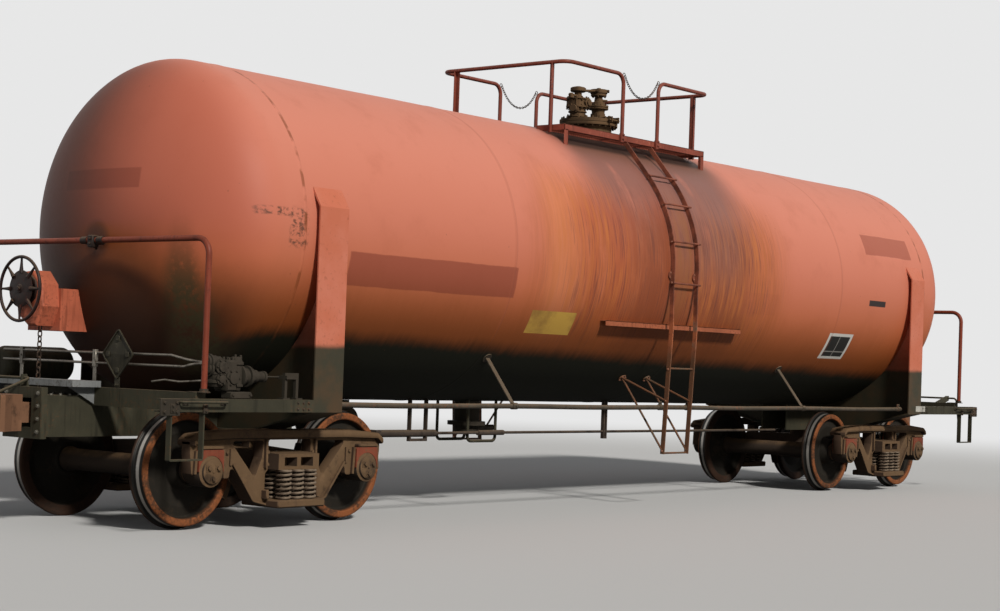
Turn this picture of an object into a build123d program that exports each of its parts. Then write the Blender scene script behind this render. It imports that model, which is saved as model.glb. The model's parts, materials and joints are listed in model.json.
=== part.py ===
from build123d import *
import math
import os

os.makedirs("parts", exist_ok=True)

# Railway tank car on two four-wheel trucks, in millimetres. X runs along the car, the
# hand-brake end is at -X, and +Z is up. The origin is on the ground plane under the middle
# of the car, where the wheel flanges touch. Heights are given above the rail head.

# Wheels and axles
TREAD_RADIUS = 457.2
FLANGE_DEPTH = 25.4
WHEEL_BACK = 674
WHEEL_FACE = 819
JOURNAL_Y = 1003
AXLE_SPACING = 1778

# Car body
TRUCK_X = 5182
TANK_RADIUS = 1420
TANK_HALF_LENGTH = 5690
HEAD_DEPTH = 710
TANK_AXIS_HEIGHT = 2420
STRIKER_X = 7070
COUPLER_HEIGHT = 876
END_BEAM_X = 6490
SILL_FACE = 1475
PLATFORM_X = 1270
PLATFORM_Y = 800
PLATFORM_HEIGHT = 3800


def up(height):
    """Turn a height above the rail head into a z in the car's frame."""
    return height + FLANGE_DEPTH


AXLE_Z = up(TREAD_RADIUS)
TANK_Z = up(TANK_AXIS_HEIGHT)
TANK_AXIS = Axis((0, 0, TANK_Z), (1, 0, 0))
ENDS = (("a", -1), ("b", 1))


def side_plane(y, x=0):
    """A plane that faces -Y at the given y, with its local x along +X and local y up."""
    return Plane(origin=(x, y, 0), x_dir=(1, 0, 0), z_dir=(0, -1, 0))


def bar(points, radius, bend=0):
    """A round bar or pipe on straight runs, with tangent bends of one radius between them."""
    with BuildPart() as run:
        with BuildLine() as path:
            if len(points) == 2:
                Line(*points)
            else:
                FilletPolyline(*points, radius=bend)
        start = path.wires()[0]
        with BuildSketch(Plane(origin=start @ 0, z_dir=start % 0)):
            Circle(radius)
        sweep()
    return run.part


def tank_angle_point(angle, radius):
    """The (|y|, z) of a point at an angle above the horizontal, at a radius from the tank's axis."""
    turn = math.radians(angle)
    return radius * math.cos(turn), TANK_Z + radius * math.sin(turn)


# Tank: a cylinder with 2:1 elliptical heads.
with BuildPart() as tank_shell:
    with BuildSketch(Plane.XZ):
        with BuildLine():
            Line((0, TANK_Z + TANK_RADIUS), (TANK_HALF_LENGTH, TANK_Z + TANK_RADIUS))
            EllipticalCenterArc((TANK_HALF_LENGTH, TANK_Z), HEAD_DEPTH, TANK_RADIUS, 0, arc_size=90)
            Line((TANK_HALF_LENGTH + HEAD_DEPTH, TANK_Z), (0, TANK_Z))
            Line((0, TANK_Z), (0, TANK_Z + TANK_RADIUS))
        make_face()
    revolve(axis=TANK_AXIS)
    mirror(about=Plane.YZ)
tank_shell.part.label = "tank_shell"
export_step(tank_shell.part, "parts/tank_shell.step")

# Manway: a short nozzle on the tank's top, a bolted cover and two relief and loading valves.
MANWAY_X = 200
NOZZLE_RADIUS = 250
COVER_RADIUS = 315
COVER_BOTTOM = 3945
COVER_THICKNESS = 45
TANK_TOP = TANK_AXIS_HEIGHT + TANK_RADIUS

with BuildPart() as manway_nozzle:
    with BuildSketch(Plane((MANWAY_X, 0, up(TANK_TOP - 60)))):
        Circle(NOZZLE_RADIUS)
    extrude(amount=COVER_BOTTOM - 40 - (TANK_TOP - 60))
    with BuildSketch(Plane((MANWAY_X, 0, up(COVER_BOTTOM - 40)))):
        Circle(COVER_RADIUS - 5)
    extrude(amount=40)
    with BuildSketch(Plane.YZ.offset(MANWAY_X - COVER_RADIUS)):
        with Locations((0, TANK_Z)):
            Circle(TANK_RADIUS)
    extrude(amount=2 * COVER_RADIUS, mode=Mode.SUBTRACT)
manway_nozzle.part.label = "manway_nozzle"
export_step(manway_nozzle.part, "parts/manway_nozzle.step")

with BuildPart() as manway_cover:
    with BuildSketch(Plane((MANWAY_X, 0, up(COVER_BOTTOM)))):
        Circle(COVER_RADIUS)
    extrude(amount=COVER_THICKNESS)
    top_rim = manway_cover.edges().filter_by(GeomType.CIRCLE).sort_by(Axis.Z)[-1]
    chamfer(top_rim, 8)
manway_cover.part.label = "manway_cover"
export_step(manway_cover.part, "parts/manway_cover.step")

# Valve stacks: radius and height above the cover, stepped in pairs from the foot up.
# columns: radius, height of the step's top
VALVE_STACKS = (
    (-205, ((118, 35), (82, 70), (150, 105), (132, 215), (150, 245), (70, 300), (118, 330), (84, 355), (96, 430))),
    (200, ((105, 30), (75, 95), (118, 120), (96, 150), (118, 175), (55, 290), (80, 320), (108, 350), (84, 425))),
)
VALVE_FOOT = COVER_BOTTOM + COVER_THICKNESS
OUTLET_FLANGE = 18

with BuildPart() as loading_valves:
    for offset_x, steps in VALVE_STACKS:
        bottom = 0
        for radius, top in steps:
            with BuildSketch(Plane((MANWAY_X + offset_x, 0, up(VALVE_FOOT + bottom)))):
                Circle(radius)
            extrude(amount=top - bottom)
            bottom = top
    # columns: offset of the stack along the car, side of the outlet, height, pipe radius, flange radius, reach
    for offset_x, side, height, pipe, flange, reach in ((-205, -1, 175, 30, 48, 185), (200, 1, 205, 26, 44, 140)):
        with BuildSketch(Plane.YZ.offset(MANWAY_X + offset_x)):
            with Locations((0, up(VALVE_FOOT + height))):
                Circle(pipe)
        extrude(amount=side * reach)
        with BuildSketch(Plane.YZ.offset(MANWAY_X + offset_x + side * (reach - OUTLET_FLANGE))):
            with Locations((0, up(VALVE_FOOT + height))):
                Circle(flange)
        extrude(amount=side * OUTLET_FLANGE)
loading_valves.part.label = "loading_valves"
export_step(loading_valves.part, "parts/loading_valves.step")

# Top platform: a walkway each side of the tank's crown, with edge channels and corner legs.
DECK_INNER_Y = 440
DECK_THICKNESS = 25
DECK_SLOT = (84, 22)
DECK_SLOT_PITCH = (104, 50)
DECK_SLOT_COUNT = (23, 6)
EDGE_DEPTH = 80
EDGE_WALL = 10
LEG_SIZE = 65
LEG_LENGTH = 260

with BuildPart() as top_platform:
    with BuildSketch(Plane.XY.offset(up(PLATFORM_HEIGHT - DECK_THICKNESS))):
        with Locations((0, -(DECK_INNER_Y + PLATFORM_Y) / 2)):
            Rectangle(2 * PLATFORM_X, PLATFORM_Y - DECK_INNER_Y)
            with GridLocations(*DECK_SLOT_PITCH, *DECK_SLOT_COUNT):
                Rectangle(*DECK_SLOT, mode=Mode.SUBTRACT)
    extrude(amount=DECK_THICKNESS)
    with BuildSketch(Plane.XY.offset(up(PLATFORM_HEIGHT - EDGE_DEPTH))):
        with Locations((0, -PLATFORM_Y + EDGE_WALL / 2)):
            Rectangle(2 * PLATFORM_X, EDGE_WALL)
        with Locations((-PLATFORM_X + EDGE_WALL / 2, -640), (PLATFORM_X - EDGE_WALL / 2, -640)):
            Rectangle(EDGE_WALL, 320)
    extrude(amount=EDGE_DEPTH)
    for side in (-1, 1):
        with BuildSketch(Plane.XY.offset(up(PLATFORM_HEIGHT - LEG_LENGTH))):
            with Locations((side * (PLATFORM_X - LEG_SIZE / 2), -PLATFORM_Y + EDGE_WALL / 2)):
                Rectangle(LEG_SIZE, EDGE_WALL)
            with Locations((side * (PLATFORM_X - EDGE_WALL / 2), -PLATFORM_Y + LEG_SIZE / 2)):
                Rectangle(EDGE_WALL, LEG_SIZE)
        extrude(amount=LEG_LENGTH - EDGE_DEPTH)
    with BuildSketch(Plane.YZ.offset(-PLATFORM_X - 1)):
        with Locations((0, TANK_Z)):
            Circle(TANK_RADIUS)
    extrude(amount=2 * PLATFORM_X + 2, mode=Mode.SUBTRACT)
    mirror(about=Plane.XZ)
top_platform.part.label = "top_platform"
export_step(top_platform.part, "parts/top_platform.step")

# Railing round the platform: one bent pipe at each end and corner posts, open at both gates.
RAIL_HEIGHT = 4425
RAIL_RADIUS = 21
RAIL_BEND = 110
RAILING_X = PLATFORM_X + RAIL_RADIUS
RAILING_Y = PLATFORM_Y + RAIL_RADIUS
GATE_HALF = 320
RAILING_FOOT = PLATFORM_HEIGHT - EDGE_DEPTH
END_POST_Y = 620
END_POST_WIDTH = 50
END_POST_WALL = 8

railing_loops = [
    bar(
        [
            (side * GATE_HALF, -RAILING_Y, up(RAILING_FOOT)),
            (side * GATE_HALF, -RAILING_Y, up(RAIL_HEIGHT)),
            (side * RAILING_X, -RAILING_Y, up(RAIL_HEIGHT)),
            (side * RAILING_X, RAILING_Y, up(RAIL_HEIGHT)),
            (side * GATE_HALF, RAILING_Y, up(RAIL_HEIGHT)),
            (side * GATE_HALF, RAILING_Y, up(RAILING_FOOT)),
        ],
        RAIL_RADIUS,
        RAIL_BEND,
    )
    for side in (-1, 1)
]
with BuildPart() as top_railing:
    add(railing_loops)
    with BuildSketch(Plane.XY.offset(up(RAILING_FOOT))):
        for sx in (-1, 1):
            for sy in (-1, 1):
                with Locations((sx * (PLATFORM_X + END_POST_WALL / 2), sy * END_POST_Y)):
                    Rectangle(END_POST_WALL, END_POST_WIDTH)
                with Locations((sx * RAILING_X, sy * (END_POST_Y + (END_POST_WIDTH - END_POST_WALL) / 2))):
                    Rectangle(2 * RAIL_RADIUS, END_POST_WALL)
    extrude(amount=RAIL_HEIGHT - RAILING_FOOT)
top_railing.part.label = "top_railing"
export_step(top_railing.part, "parts/top_railing.step")

# Gate chains hang between the rail ends across both gates.
CHAIN_RADIUS = 7
CHAIN_SAG = 210
GATE_EYE_HEIGHT = RAIL_HEIGHT - 40

with BuildPart() as gate_chains:
    for side_y in (-1, 1):
        with BuildLine() as sag:
            ThreePointArc(
                (-GATE_HALF, side_y * RAILING_Y, up(GATE_EYE_HEIGHT)),
                (0, side_y * RAILING_Y, up(GATE_EYE_HEIGHT - CHAIN_SAG)),
                (GATE_HALF, side_y * RAILING_Y, up(GATE_EYE_HEIGHT)),
            )
        chain_wire = sag.wires()[0]
        with BuildSketch(Plane(origin=chain_wire @ 0, z_dir=chain_wire % 0)):
            Circle(CHAIN_RADIUS)
        sweep(path=chain_wire)
    add(railing_loops, mode=Mode.SUBTRACT)
gate_chains.part.label = "gate_chains"
export_step(gate_chains.part, "parts/gate_chains.step")

# Ladder each side: flat stiles from the platform's edge round the tank and down to the foot.
STILE_X = 220
STILE_RADIUS = TANK_RADIUS + 6
STILE_DEPTH = 46
STILE_THICKNESS = 14
STILE_TOP = (806, 3715)
STRAIGHT_ANGLE = 40
RUNG_RADIUS = 10
RUNG_OVERHANG = 30
RUNG_ANGLES = (40, 26.4, 10.5, -6)
LADDER_KNEE_Y = 1450
KNEE_HEIGHT = 1790
LADDER_FOOT_Y = 1388
LADDER_FOOT_HEIGHT = 525
LOWER_RUNGS = (LADDER_FOOT_HEIGHT, 1388)
stile_mid = STILE_RADIUS + STILE_DEPTH / 2
arc_start = tank_angle_point(STRAIGHT_ANGLE, stile_mid)
arc_middle = tank_angle_point(17, stile_mid)
arc_end = tank_angle_point(RUNG_ANGLES[-1], stile_mid)


def ladder_y(height):
    """The lower ladder leans in from its knee to its foot."""
    share = (KNEE_HEIGHT - height) / (KNEE_HEIGHT - LADDER_FOOT_HEIGHT)
    return LADDER_KNEE_Y + (LADDER_FOOT_Y - LADDER_KNEE_Y) * share


with BuildPart() as ladder_stiles:
    for stile in (-STILE_X, STILE_X):
        with BuildLine() as curve:
            Line((stile, -STILE_TOP[0], up(STILE_TOP[1])), (stile, -arc_start[0], arc_start[1]))
            ThreePointArc(
                (stile, -arc_start[0], arc_start[1]),
                (stile, -arc_middle[0], arc_middle[1]),
                (stile, -arc_end[0], arc_end[1]),
            )
            Polyline(
                (stile, -arc_end[0], arc_end[1]),
                (stile, -LADDER_KNEE_Y, up(KNEE_HEIGHT)),
                (stile, -LADDER_FOOT_Y, up(LADDER_FOOT_HEIGHT)),
            )
        stile_wire = curve.wires()[0]
        with BuildSketch(Plane(origin=stile_wire @ 0, x_dir=(1, 0, 0), z_dir=stile_wire % 0)):
            Rectangle(STILE_THICKNESS, STILE_DEPTH)
        sweep(path=stile_wire, transition=Transition.RIGHT)
    add(tank_shell.part, mode=Mode.SUBTRACT)
    mirror(about=Plane.XZ)
ladder_stiles.part.label = "ladder_stiles"
export_step(ladder_stiles.part, "parts/ladder_stiles.step")

with BuildPart() as ladder_rungs:
    for angle in RUNG_ANGLES:
        rung_y, rung_z = tank_angle_point(angle, STILE_RADIUS + STILE_DEPTH + RUNG_RADIUS)
        with BuildSketch(Plane.YZ.offset(-STILE_X - RUNG_OVERHANG)):
            with Locations((-rung_y, rung_z)):
                Circle(RUNG_RADIUS)
        extrude(amount=2 * (STILE_X + RUNG_OVERHANG))
    for height in LOWER_RUNGS:
        with BuildSketch(Plane.YZ.offset(-STILE_X + STILE_THICKNESS / 2)):
            with Locations((-ladder_y(height), up(height) + RUNG_RADIUS)):
                Circle(RUNG_RADIUS)
        extrude(amount=2 * STILE_X - STILE_THICKNESS)
    mirror(about=Plane.XZ)
    add(ladder_stiles.part, mode=Mode.SUBTRACT)
ladder_rungs.part.label = "ladder_rungs"
export_step(ladder_rungs.part, "parts/ladder_rungs.step")

# Bracing of the lower ladder: two bars from each tank pad to the stile.
BRACE_PAD_ANGLE = -53
BRACE_RADIUS = 11
BRACE_HEIGHTS = (LADDER_FOOT_HEIGHT + 30, 1065)
PAD_RADIUS = 45
PAD_DEPTH = 12
brace_pad = tank_angle_point(BRACE_PAD_ANGLE, TANK_RADIUS)

with BuildPart() as ladder_braces:
    for stile in (-STILE_X, STILE_X):
        for height in BRACE_HEIGHTS:
            add(bar([(stile, -brace_pad[0], brace_pad[1]), (stile, -ladder_y(height), up(height))], BRACE_RADIUS))
        for angle in (BRACE_PAD_ANGLE, -3):
            pad_y, pad_z = tank_angle_point(angle, TANK_RADIUS - PAD_DEPTH)
            out_y, out_z = tank_angle_point(angle, 1)
            with BuildSketch(Plane(origin=(stile, -pad_y, pad_z), z_dir=(0, -out_y, out_z - TANK_Z))):
                Circle(PAD_RADIUS)
            extrude(amount=2 * PAD_DEPTH)
    add(tank_shell.part, mode=Mode.SUBTRACT)
    mirror(about=Plane.XZ)
    add(ladder_stiles.part, mode=Mode.SUBTRACT)
ladder_braces.part.label = "ladder_braces"
export_step(ladder_braces.part, "parts/ladder_braces.step")

# Side angle behind each ladder: welded along the tank, with a face that hangs clear below.
ANGLE_HALF = 1240
ANGLE_FACE_Y = 1312
ANGLE_TOP = 1846
ANGLE_DEPTH = 64
ANGLE_WALL = 10

with BuildPart() as side_angles:
    with BuildSketch(Plane.YZ.offset(-ANGLE_HALF)):
        with BuildLine():
            Polyline(
                (-ANGLE_FACE_Y, up(ANGLE_TOP)),
                (-ANGLE_FACE_Y + ANGLE_DEPTH, up(ANGLE_TOP)),
                (-ANGLE_FACE_Y + ANGLE_DEPTH, up(ANGLE_TOP - ANGLE_WALL)),
                (-ANGLE_FACE_Y + ANGLE_WALL, up(ANGLE_TOP - ANGLE_WALL)),
                (-ANGLE_FACE_Y + ANGLE_WALL, up(ANGLE_TOP - ANGLE_DEPTH)),
                (-ANGLE_FACE_Y, up(ANGLE_TOP - ANGLE_DEPTH)),
                close=True,
            )
        make_face()
    extrude(amount=2 * ANGLE_HALF)
    add(tank_shell.part, mode=Mode.SUBTRACT)
    mirror(about=Plane.XZ)
side_angles.part.label = "side_angles"
export_step(side_angles.part, "parts/side_angles.step")

# Body bolsters: a web plate, a sloping bottom flange and an upright side flange on each side.
BOLSTER_HALF_WIDTH = 165
SILL_HALF_WIDTH = 180
SILL_BOTTOM = 690
WEB_THICKNESS = 16
FLANGE_THICKNESS = 14
BOLSTER_FOOT_Y = 700
BOLSTER_FOOT_HEIGHT = 745
BOLSTER_SIDE_HEIGHT = 940
SIDE_FLANGE_TOP = 2600
FLANGE_TIP_Y = 1375
FLANGE_TIP_HEIGHT = 2765
SIDE_BEARING_Y = 635
SIDE_BEARING_HEIGHT = 690
SIDE_BEARING_SIZE = (260, 110)

with BuildPart() as body_bolsters:
    for end, side in ENDS:
        with BuildSketch(Plane.YZ.offset(side * TRUCK_X - WEB_THICKNESS / 2)):
            with BuildLine():
                Polyline(
                    (-SILL_HALF_WIDTH, up(BOLSTER_FOOT_HEIGHT)),
                    (-BOLSTER_FOOT_Y, up(BOLSTER_FOOT_HEIGHT)),
                    (-SILL_FACE, up(BOLSTER_SIDE_HEIGHT)),
                    (-SILL_FACE, up(SIDE_FLANGE_TOP)),
                    (-FLANGE_TIP_Y, up(FLANGE_TIP_HEIGHT)),
                    (-SILL_HALF_WIDTH, up(FLANGE_TIP_HEIGHT)),
                    close=True,
                )
            make_face()
        extrude(amount=WEB_THICKNESS)
        with BuildSketch(Plane.YZ.offset(side * TRUCK_X - BOLSTER_HALF_WIDTH)):
            with BuildLine():
                Polyline(
                    (-SILL_HALF_WIDTH, up(BOLSTER_FOOT_HEIGHT)),
                    (-BOLSTER_FOOT_Y, up(BOLSTER_FOOT_HEIGHT)),
                    (-SILL_FACE, up(BOLSTER_SIDE_HEIGHT)),
                    (-SILL_FACE, up(SIDE_FLANGE_TOP)),
                    (-FLANGE_TIP_Y, up(FLANGE_TIP_HEIGHT)),
                    (-FLANGE_TIP_Y + FLANGE_THICKNESS, up(FLANGE_TIP_HEIGHT - FLANGE_THICKNESS)),
                    (-SILL_FACE + FLANGE_THICKNESS, up(SIDE_FLANGE_TOP - 5)),
                    (-SILL_FACE + FLANGE_THICKNESS, up(BOLSTER_SIDE_HEIGHT + FLANGE_THICKNESS)),
                    (-BOLSTER_FOOT_Y, up(BOLSTER_FOOT_HEIGHT + FLANGE_THICKNESS)),
                    (-SILL_HALF_WIDTH, up(BOLSTER_FOOT_HEIGHT + FLANGE_THICKNESS)),
                    close=True,
                )
            make_face()
        extrude(amount=2 * BOLSTER_HALF_WIDTH)
        with BuildSketch(Plane((side * TRUCK_X, -SIDE_BEARING_Y, up(SIDE_BEARING_HEIGHT)))):
            Rectangle(*SIDE_BEARING_SIZE)
        extrude(amount=BOLSTER_FOOT_HEIGHT - SIDE_BEARING_HEIGHT)
    with BuildSketch(Plane.YZ.offset(-TANK_HALF_LENGTH)):
        with Locations((0, TANK_Z)):
            Circle(TANK_RADIUS)
    extrude(amount=2 * TANK_HALF_LENGTH, mode=Mode.SUBTRACT)
    mirror(about=Plane.XZ)
body_bolsters.part.label = "body_bolsters"
export_step(body_bolsters.part, "parts/body_bolsters.step")

# Stub sills: an inverted channel under each tank end, with centre plate and striker.
SILL_TOP = 1015
SILL_WALL = 16
SILL_INNER_X = 4300
SILL_PAD = (520, 60)
CENTRE_PLATE_RADIUS = 203
CENTRE_PLATE_HEIGHT = 654
STRIKER_SIZE = (470, 400)
STRIKER_MOUTH = 230
STRIKER_THICKNESS = 60

with BuildPart() as stub_sills:
    with BuildSketch(Plane.YZ.offset(SILL_INNER_X)):
        with BuildLine():
            Polyline(
                (-SILL_HALF_WIDTH, up(SILL_BOTTOM)),
                (-SILL_HALF_WIDTH, up(SILL_TOP)),
                (SILL_HALF_WIDTH, up(SILL_TOP)),
                (SILL_HALF_WIDTH, up(SILL_BOTTOM)),
                (SILL_HALF_WIDTH - SILL_WALL, up(SILL_BOTTOM)),
                (SILL_HALF_WIDTH - SILL_WALL, up(SILL_TOP - SILL_WALL)),
                (-SILL_HALF_WIDTH + SILL_WALL, up(SILL_TOP - SILL_WALL)),
                (-SILL_HALF_WIDTH + SILL_WALL, up(SILL_BOTTOM)),
                close=True,
            )
        make_face()
    extrude(amount=STRIKER_X - SILL_INNER_X)
    with BuildSketch(Plane((TRUCK_X, 0, up(SILL_BOTTOM)))):
        Rectangle(SILL_PAD[0], 2 * SILL_HALF_WIDTH)
    extrude(amount=SILL_PAD[1])
    with BuildSketch(Plane((TRUCK_X, 0, up(CENTRE_PLATE_HEIGHT)))):
        Circle(CENTRE_PLATE_RADIUS)
    extrude(amount=SILL_BOTTOM - CENTRE_PLATE_HEIGHT)
    with BuildSketch(Plane.YZ.offset(STRIKER_X - STRIKER_THICKNESS)):
        with Locations((0, up(COUPLER_HEIGHT))):
            Rectangle(*STRIKER_SIZE)
            Rectangle(STRIKER_MOUTH, STRIKER_MOUTH, mode=Mode.SUBTRACT)
    extrude(amount=STRIKER_THICKNESS)
    add(tank_shell.part, mode=Mode.SUBTRACT)
    mirror(about=Plane.YZ)
stub_sills.part.label = "stub_sills"
export_step(stub_sills.part, "parts/stub_sills.step")

# Couplers: shank, head with guard arm, and a knuckle that pivots on an upright pin.
COUPLER_FACE_X = 7450
SHANK_HALF = 65
SHANK_HEIGHT = 160
SHANK_START_X = 6450
HEAD_HALF_HEIGHT = 140
HEAD_DEPTH_X = 300
KNUCKLE_HALF_HEIGHT = 125

with BuildPart() as couplers:
    with BuildSketch(Plane.YZ.offset(SHANK_START_X)):
        with Locations((0, up(COUPLER_HEIGHT))):
            Rectangle(2 * SHANK_HALF, SHANK_HEIGHT)
    extrude(amount=COUPLER_FACE_X - HEAD_DEPTH_X - SHANK_START_X)
    with BuildSketch(Plane.XY.offset(up(COUPLER_HEIGHT - HEAD_HALF_HEIGHT))):
        with BuildLine():
            Polyline(
                (7120, -SHANK_HALF),
                (7180, -150),
                (7300, -190),
                (7420, -265),
                (7470, -270),
                (7480, -225),
                (7400, -130),
                (7330, -70),
                (7330, 60),
                (7240, 165),
                (7150, 120),
                (7120, SHANK_HALF),
                close=True,
            )
        make_face()
    extrude(amount=2 * HEAD_HALF_HEIGHT)
    mirror(about=Plane.YZ)
couplers.part.label = "couplers"
export_step(couplers.part, "parts/couplers.step")

with BuildPart() as coupler_knuckles:
    with BuildSketch(Plane.XY.offset(up(COUPLER_HEIGHT - KNUCKLE_HALF_HEIGHT))):
        with BuildLine():
            Polyline(
                (7336, 60),
                (7246, 169),
                (7330, 195),
                (7410, 165),
                (7445, 95),
                (7440, 20),
                (7400, -25),
                (7350, -15),
                (7385, 40),
                close=True,
            )
        make_face()
    extrude(amount=2 * KNUCKLE_HALF_HEIGHT)
    mirror(about=Plane.YZ)
coupler_knuckles.part.label = "coupler_knuckles"
export_step(coupler_knuckles.part, "parts/coupler_knuckles.step")

# Uncoupling levers: a bent rod from an outer bracket to the coupler's lock.
LEVER_RADIUS = 12
LEVER_LINE_X = 6960
LEVER_LINE_HEIGHT = 1140
LEVER_GRIP = (90, 330)
LEVER_BEND = 40
LEVER_SIDE_Y = -1180
LEVER_TIP_X = LEVER_LINE_X + 300
LEVER_TIP_Y = -60
BEAM_FACE_X = END_BEAM_X + 50
LEVER_BRACKET_WALL = 14
# columns: y of a bracket's outer face, its profile as x and height
LEVER_BRACKETS = (
    (LEVER_SIDE_Y + 130, ((BEAM_FACE_X, 1065), (BEAM_FACE_X, 965), (6990, 1110), (6990, 1170), (6920, 1170))),
    (-130, ((6900, SILL_TOP), (7000, SILL_TOP), (6985, 1170), (6935, 1170))),
)
with BuildPart() as uncoupling_levers:
    add(
        bar(
            [
                (LEVER_LINE_X + LEVER_GRIP[0], LEVER_SIDE_Y, up(LEVER_LINE_HEIGHT - LEVER_GRIP[1])),
                (LEVER_LINE_X, LEVER_SIDE_Y, up(LEVER_LINE_HEIGHT)),
                (LEVER_LINE_X, LEVER_TIP_Y, up(LEVER_LINE_HEIGHT)),
                (LEVER_TIP_X, LEVER_TIP_Y, up(COUPLER_HEIGHT + HEAD_HALF_HEIGHT + LEVER_RADIUS - 4)),
            ],
            LEVER_RADIUS,
            LEVER_BEND,
        )
    )
    for bracket_y, profile in LEVER_BRACKETS:
        with BuildSketch(side_plane(bracket_y)):
            with BuildLine():
                Polyline(*[(x, up(height)) for x, height in profile], close=True)
            make_face()
        extrude(amount=LEVER_BRACKET_WALL)
    add(uncoupling_levers.part.rotate(Axis.Z, 180))
    add(couplers.part, mode=Mode.SUBTRACT)
uncoupling_levers.part.label = "uncoupling_levers"
export_step(uncoupling_levers.part, "parts/uncoupling_levers.step")

# End frames: a cross beam and two side sills at each end.
SILL_LOW = 940
SILL_HIGH = 1040
SILL_CHANNEL_WALL = 10
SILL_FLANGE = 70
SILL_END_X = 6935
BEAM_LOW = 940
BEAM_HIGH = 1085
BEAM_WIDTH = 100

with BuildPart() as side_sills:
    with BuildSketch(Plane.YZ.offset(TRUCK_X + BOLSTER_HALF_WIDTH)):
        with BuildLine():
            Polyline(
                (-SILL_FACE, up(SILL_LOW)),
                (-SILL_FACE, up(SILL_HIGH)),
                (-SILL_FACE + SILL_FLANGE, up(SILL_HIGH)),
                (-SILL_FACE + SILL_FLANGE, up(SILL_HIGH - SILL_CHANNEL_WALL)),
                (-SILL_FACE + SILL_CHANNEL_WALL, up(SILL_HIGH - SILL_CHANNEL_WALL)),
                (-SILL_FACE + SILL_CHANNEL_WALL, up(SILL_LOW + SILL_CHANNEL_WALL)),
                (-SILL_FACE + SILL_FLANGE, up(SILL_LOW + SILL_CHANNEL_WALL)),
                (-SILL_FACE + SILL_FLANGE, up(SILL_LOW)),
                close=True,
            )
        make_face()
    extrude(amount=SILL_END_X - TRUCK_X - BOLSTER_HALF_WIDTH)
    mirror(about=Plane.XZ)
    mirror(about=Plane.YZ)
side_sills.part.label = "side_sills"
export_step(side_sills.part, "parts/side_sills.step")

with BuildPart() as end_beams:
    with BuildSketch(Plane.YZ.offset(END_BEAM_X - BEAM_WIDTH / 2)):
        with Locations((0, up((BEAM_LOW + BEAM_HIGH) / 2))):
            Rectangle(2 * (SILL_FACE - SILL_FLANGE), BEAM_HIGH - BEAM_LOW)
        with Locations((0, up((SILL_BOTTOM + SILL_TOP) / 2))):
            Rectangle(2 * SILL_HALF_WIDTH, SILL_TOP - SILL_BOTTOM, mode=Mode.SUBTRACT)
    extrude(amount=BEAM_WIDTH)
    mirror(about=Plane.YZ)
end_beams.part.label = "end_beams"
export_step(end_beams.part, "parts/end_beams.step")

# Sill steps: a flat bar bent to a stirrup under each corner of the car.
STEP_X = 6665
STEP_WIDTH = 334
STEP_Y_RANGE = (1422, 1472)
STEP_FOOT = 573
STEP_THICKNESS = 13

with BuildPart() as sill_steps:
    with BuildSketch(side_plane(-STEP_Y_RANGE[0], STEP_X)):
        with Locations((0, up((STEP_FOOT + SILL_LOW) / 2))):
            Rectangle(STEP_WIDTH, SILL_LOW - STEP_FOOT)
        with Locations((0, up((STEP_FOOT + STEP_THICKNESS + SILL_LOW) / 2))):
            Rectangle(STEP_WIDTH - 2 * STEP_THICKNESS, SILL_LOW - STEP_FOOT - STEP_THICKNESS, mode=Mode.SUBTRACT)
    extrude(amount=STEP_Y_RANGE[1] - STEP_Y_RANGE[0])
    low_edges = sill_steps.edges().filter_by(Axis.Y).group_by(Axis.Z)[0]
    fillet(low_edges, STEP_THICKNESS - 1)
    mirror(about=Plane.XZ)
    mirror(about=Plane.YZ)
sill_steps.part.label = "sill_steps"
export_step(sill_steps.part, "parts/sill_steps.step")

# Grab irons: a bar that stands off the side sill at each corner.
GRAB_X_RANGE = (6320, 6770)
GRAB_HEIGHT = 1015
GRAB_STANDOFF = 65
GRAB_RADIUS = 9.5
GRAB_BEND = 30

grab_bars = [
    bar(
        [
            (sx * GRAB_X_RANGE[0], sy * SILL_FACE, up(GRAB_HEIGHT)),
            (sx * GRAB_X_RANGE[0], sy * (SILL_FACE + GRAB_STANDOFF), up(GRAB_HEIGHT)),
            (sx * GRAB_X_RANGE[1], sy * (SILL_FACE + GRAB_STANDOFF), up(GRAB_HEIGHT)),
            (sx * GRAB_X_RANGE[1], sy * SILL_FACE, up(GRAB_HEIGHT)),
        ],
        GRAB_RADIUS,
        GRAB_BEND,
    )
    for sx in (-1, 1)
    for sy in (-1, 1)
]
with BuildPart() as grab_irons:
    add(grab_bars)
grab_irons.part.label = "grab_irons"
export_step(grab_irons.part, "parts/grab_irons.step")

# End handrails: one bent pipe across each end, standing on the cross beam.
END_RAIL_HEIGHT = 2260
END_RAIL_Y = 1440
END_RAIL_RADIUS = 24
END_RAIL_BEND = 130

end_rail_bars = [
    bar(
        [
            (side * END_BEAM_X, -END_RAIL_Y, up(BEAM_HIGH)),
            (side * END_BEAM_X, -END_RAIL_Y, up(END_RAIL_HEIGHT)),
            (side * END_BEAM_X, END_RAIL_Y, up(END_RAIL_HEIGHT)),
            (side * END_BEAM_X, END_RAIL_Y, up(BEAM_HIGH)),
        ],
        END_RAIL_RADIUS,
        END_RAIL_BEND,
    )
    for side in (-1, 1)
]
with BuildPart() as end_handrails:
    add(end_rail_bars)
end_handrails.part.label = "end_handrails"
export_step(end_handrails.part, "parts/end_handrails.step")

# Side handrails: a pipe between the bolsters with two slanting posts to the tank.
SIDE_RAIL_HEIGHT = 1000
SIDE_RAIL_Y = 1362
SIDE_RAIL_RADIUS = 24
SIDE_POST_X = 2630
SIDE_POST_RADIUS = 20
side_post_top = tank_angle_point(-44, TANK_RADIUS - 6)

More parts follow.
